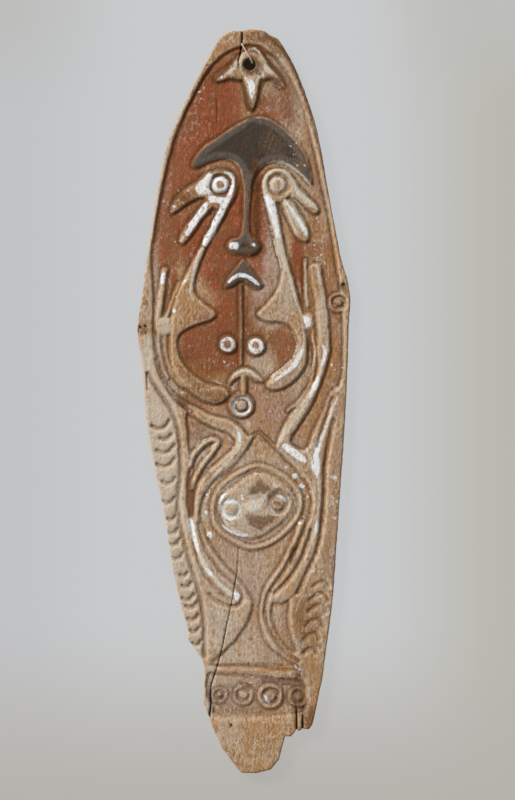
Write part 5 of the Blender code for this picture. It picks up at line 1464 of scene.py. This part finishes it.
def floor():
    """A plain pale floor that glows evenly, with painted shading towards its sides and foot, and painted shadow
    beneath the hole and the splits of the board.
    """
    p = Paint("pale_floor")
    across, along = p.axes()
    tone = toned(p, colour(*FLOOR_MIDDLE), [
        (across, -0.15, -0.36, 0.0, 1.0, colour(*FLOOR_LEFT)), (across, 0.17, 0.42, 0.0, 1.0, colour(*FLOOR_RIGHT)),
        (along, -0.3, -0.62, 0.0, 1.0, colour(*FLOOR_FOOT))])
    tone = p.mix(along.ramp(0.4, 0.6) * abs(across).ramp(0.15, 0.4), tone, colour(*FLOOR_CORNER))
    x, y = place(*HOLE_CENTRE)
    away = p.maths("SQRT", (across - x) ** 2.0 + (along - y) ** 2.0)
    tone = p.mix(away.ramp(HOLE_SHADE * UNIT, (HOLE_SHADE - 2.5) * UNIT), tone, SHADE_DARK)
    for cx, cy, half_width, half_height in SPLIT_SHADES:
        x, y = place(cx, cy)
        by_x = abs(across - x).ramp(half_width * UNIT, (half_width - 0.5) * UNIT)
        by_y = abs(along - y).ramp(half_height * UNIT, (half_height - 0.5) * UNIT)
        tone = p.mix(by_x * by_y, tone, SHADE_DARK)
    p.set(Base_Color=colour(*FLOOR_BASE), Roughness=1.0, Specular_IOR_Level=0.0, Emission_Color=tone,
          Emission_Strength=1.0)
    data = bpy.data.meshes.new("floor")
    data.from_pydata([(FLOOR_REACH * x, FLOOR_REACH * y, 0) for x, y in ((-1, -1), (1, -1), (1, 1), (-1, 1))],
                     [], [(0, 1, 2, 3)])
    data.materials.append(p.material)
    obj = bpy.data.objects.new("floor", data)
    obj.location = (0, 0, FLOOR_HEIGHT)
    bpy.context.collection.objects.link(obj)


def lights():
    """Soft light from the upper left, and an even fill."""
    sun = bpy.data.lights.new("key", "SUN")
    sun.energy = KEY_ENERGY
    sun.angle = math.radians(KEY_ANGLE)
    key = bpy.data.objects.new("key", sun)
    key.rotation_euler = Vector(KEY_DIRECTION).to_track_quat("-Z", "Y").to_euler()
    bpy.context.collection.objects.link(key)
    world = bpy.data.worlds.new("studio")
    world.use_nodes = True
    world.node_tree.nodes["Background"].inputs["Color"].default_value = (1, 1, 1, 1)
    world.node_tree.nodes["Background"].inputs["Strength"].default_value = FILL_STRENGTH
    bpy.context.scene.world = world
    bpy.context.scene.view_settings.view_transform = "Standard"


def camera():
    """A long lens straight above, whose picture the drawing fills unit for pixel."""
    data = bpy.data.cameras.new("camera")
    data.sensor_width = 36.0
    data.lens = data.sensor_width * (CAMERA_HEIGHT - FACE_HEIGHT) / (PICTURE[1] * UNIT)
    data.clip_end = 30.0
    obj = bpy.data.objects.new("camera", data)
    obj.location = (*place(PICTURE[0] / 2, PICTURE[1] / 2), CAMERA_HEIGHT)
    bpy.context.collection.objects.link(obj)
    bpy.context.scene.camera = obj


carved_board()
hanging_cord()
floor()
lights()
camera()
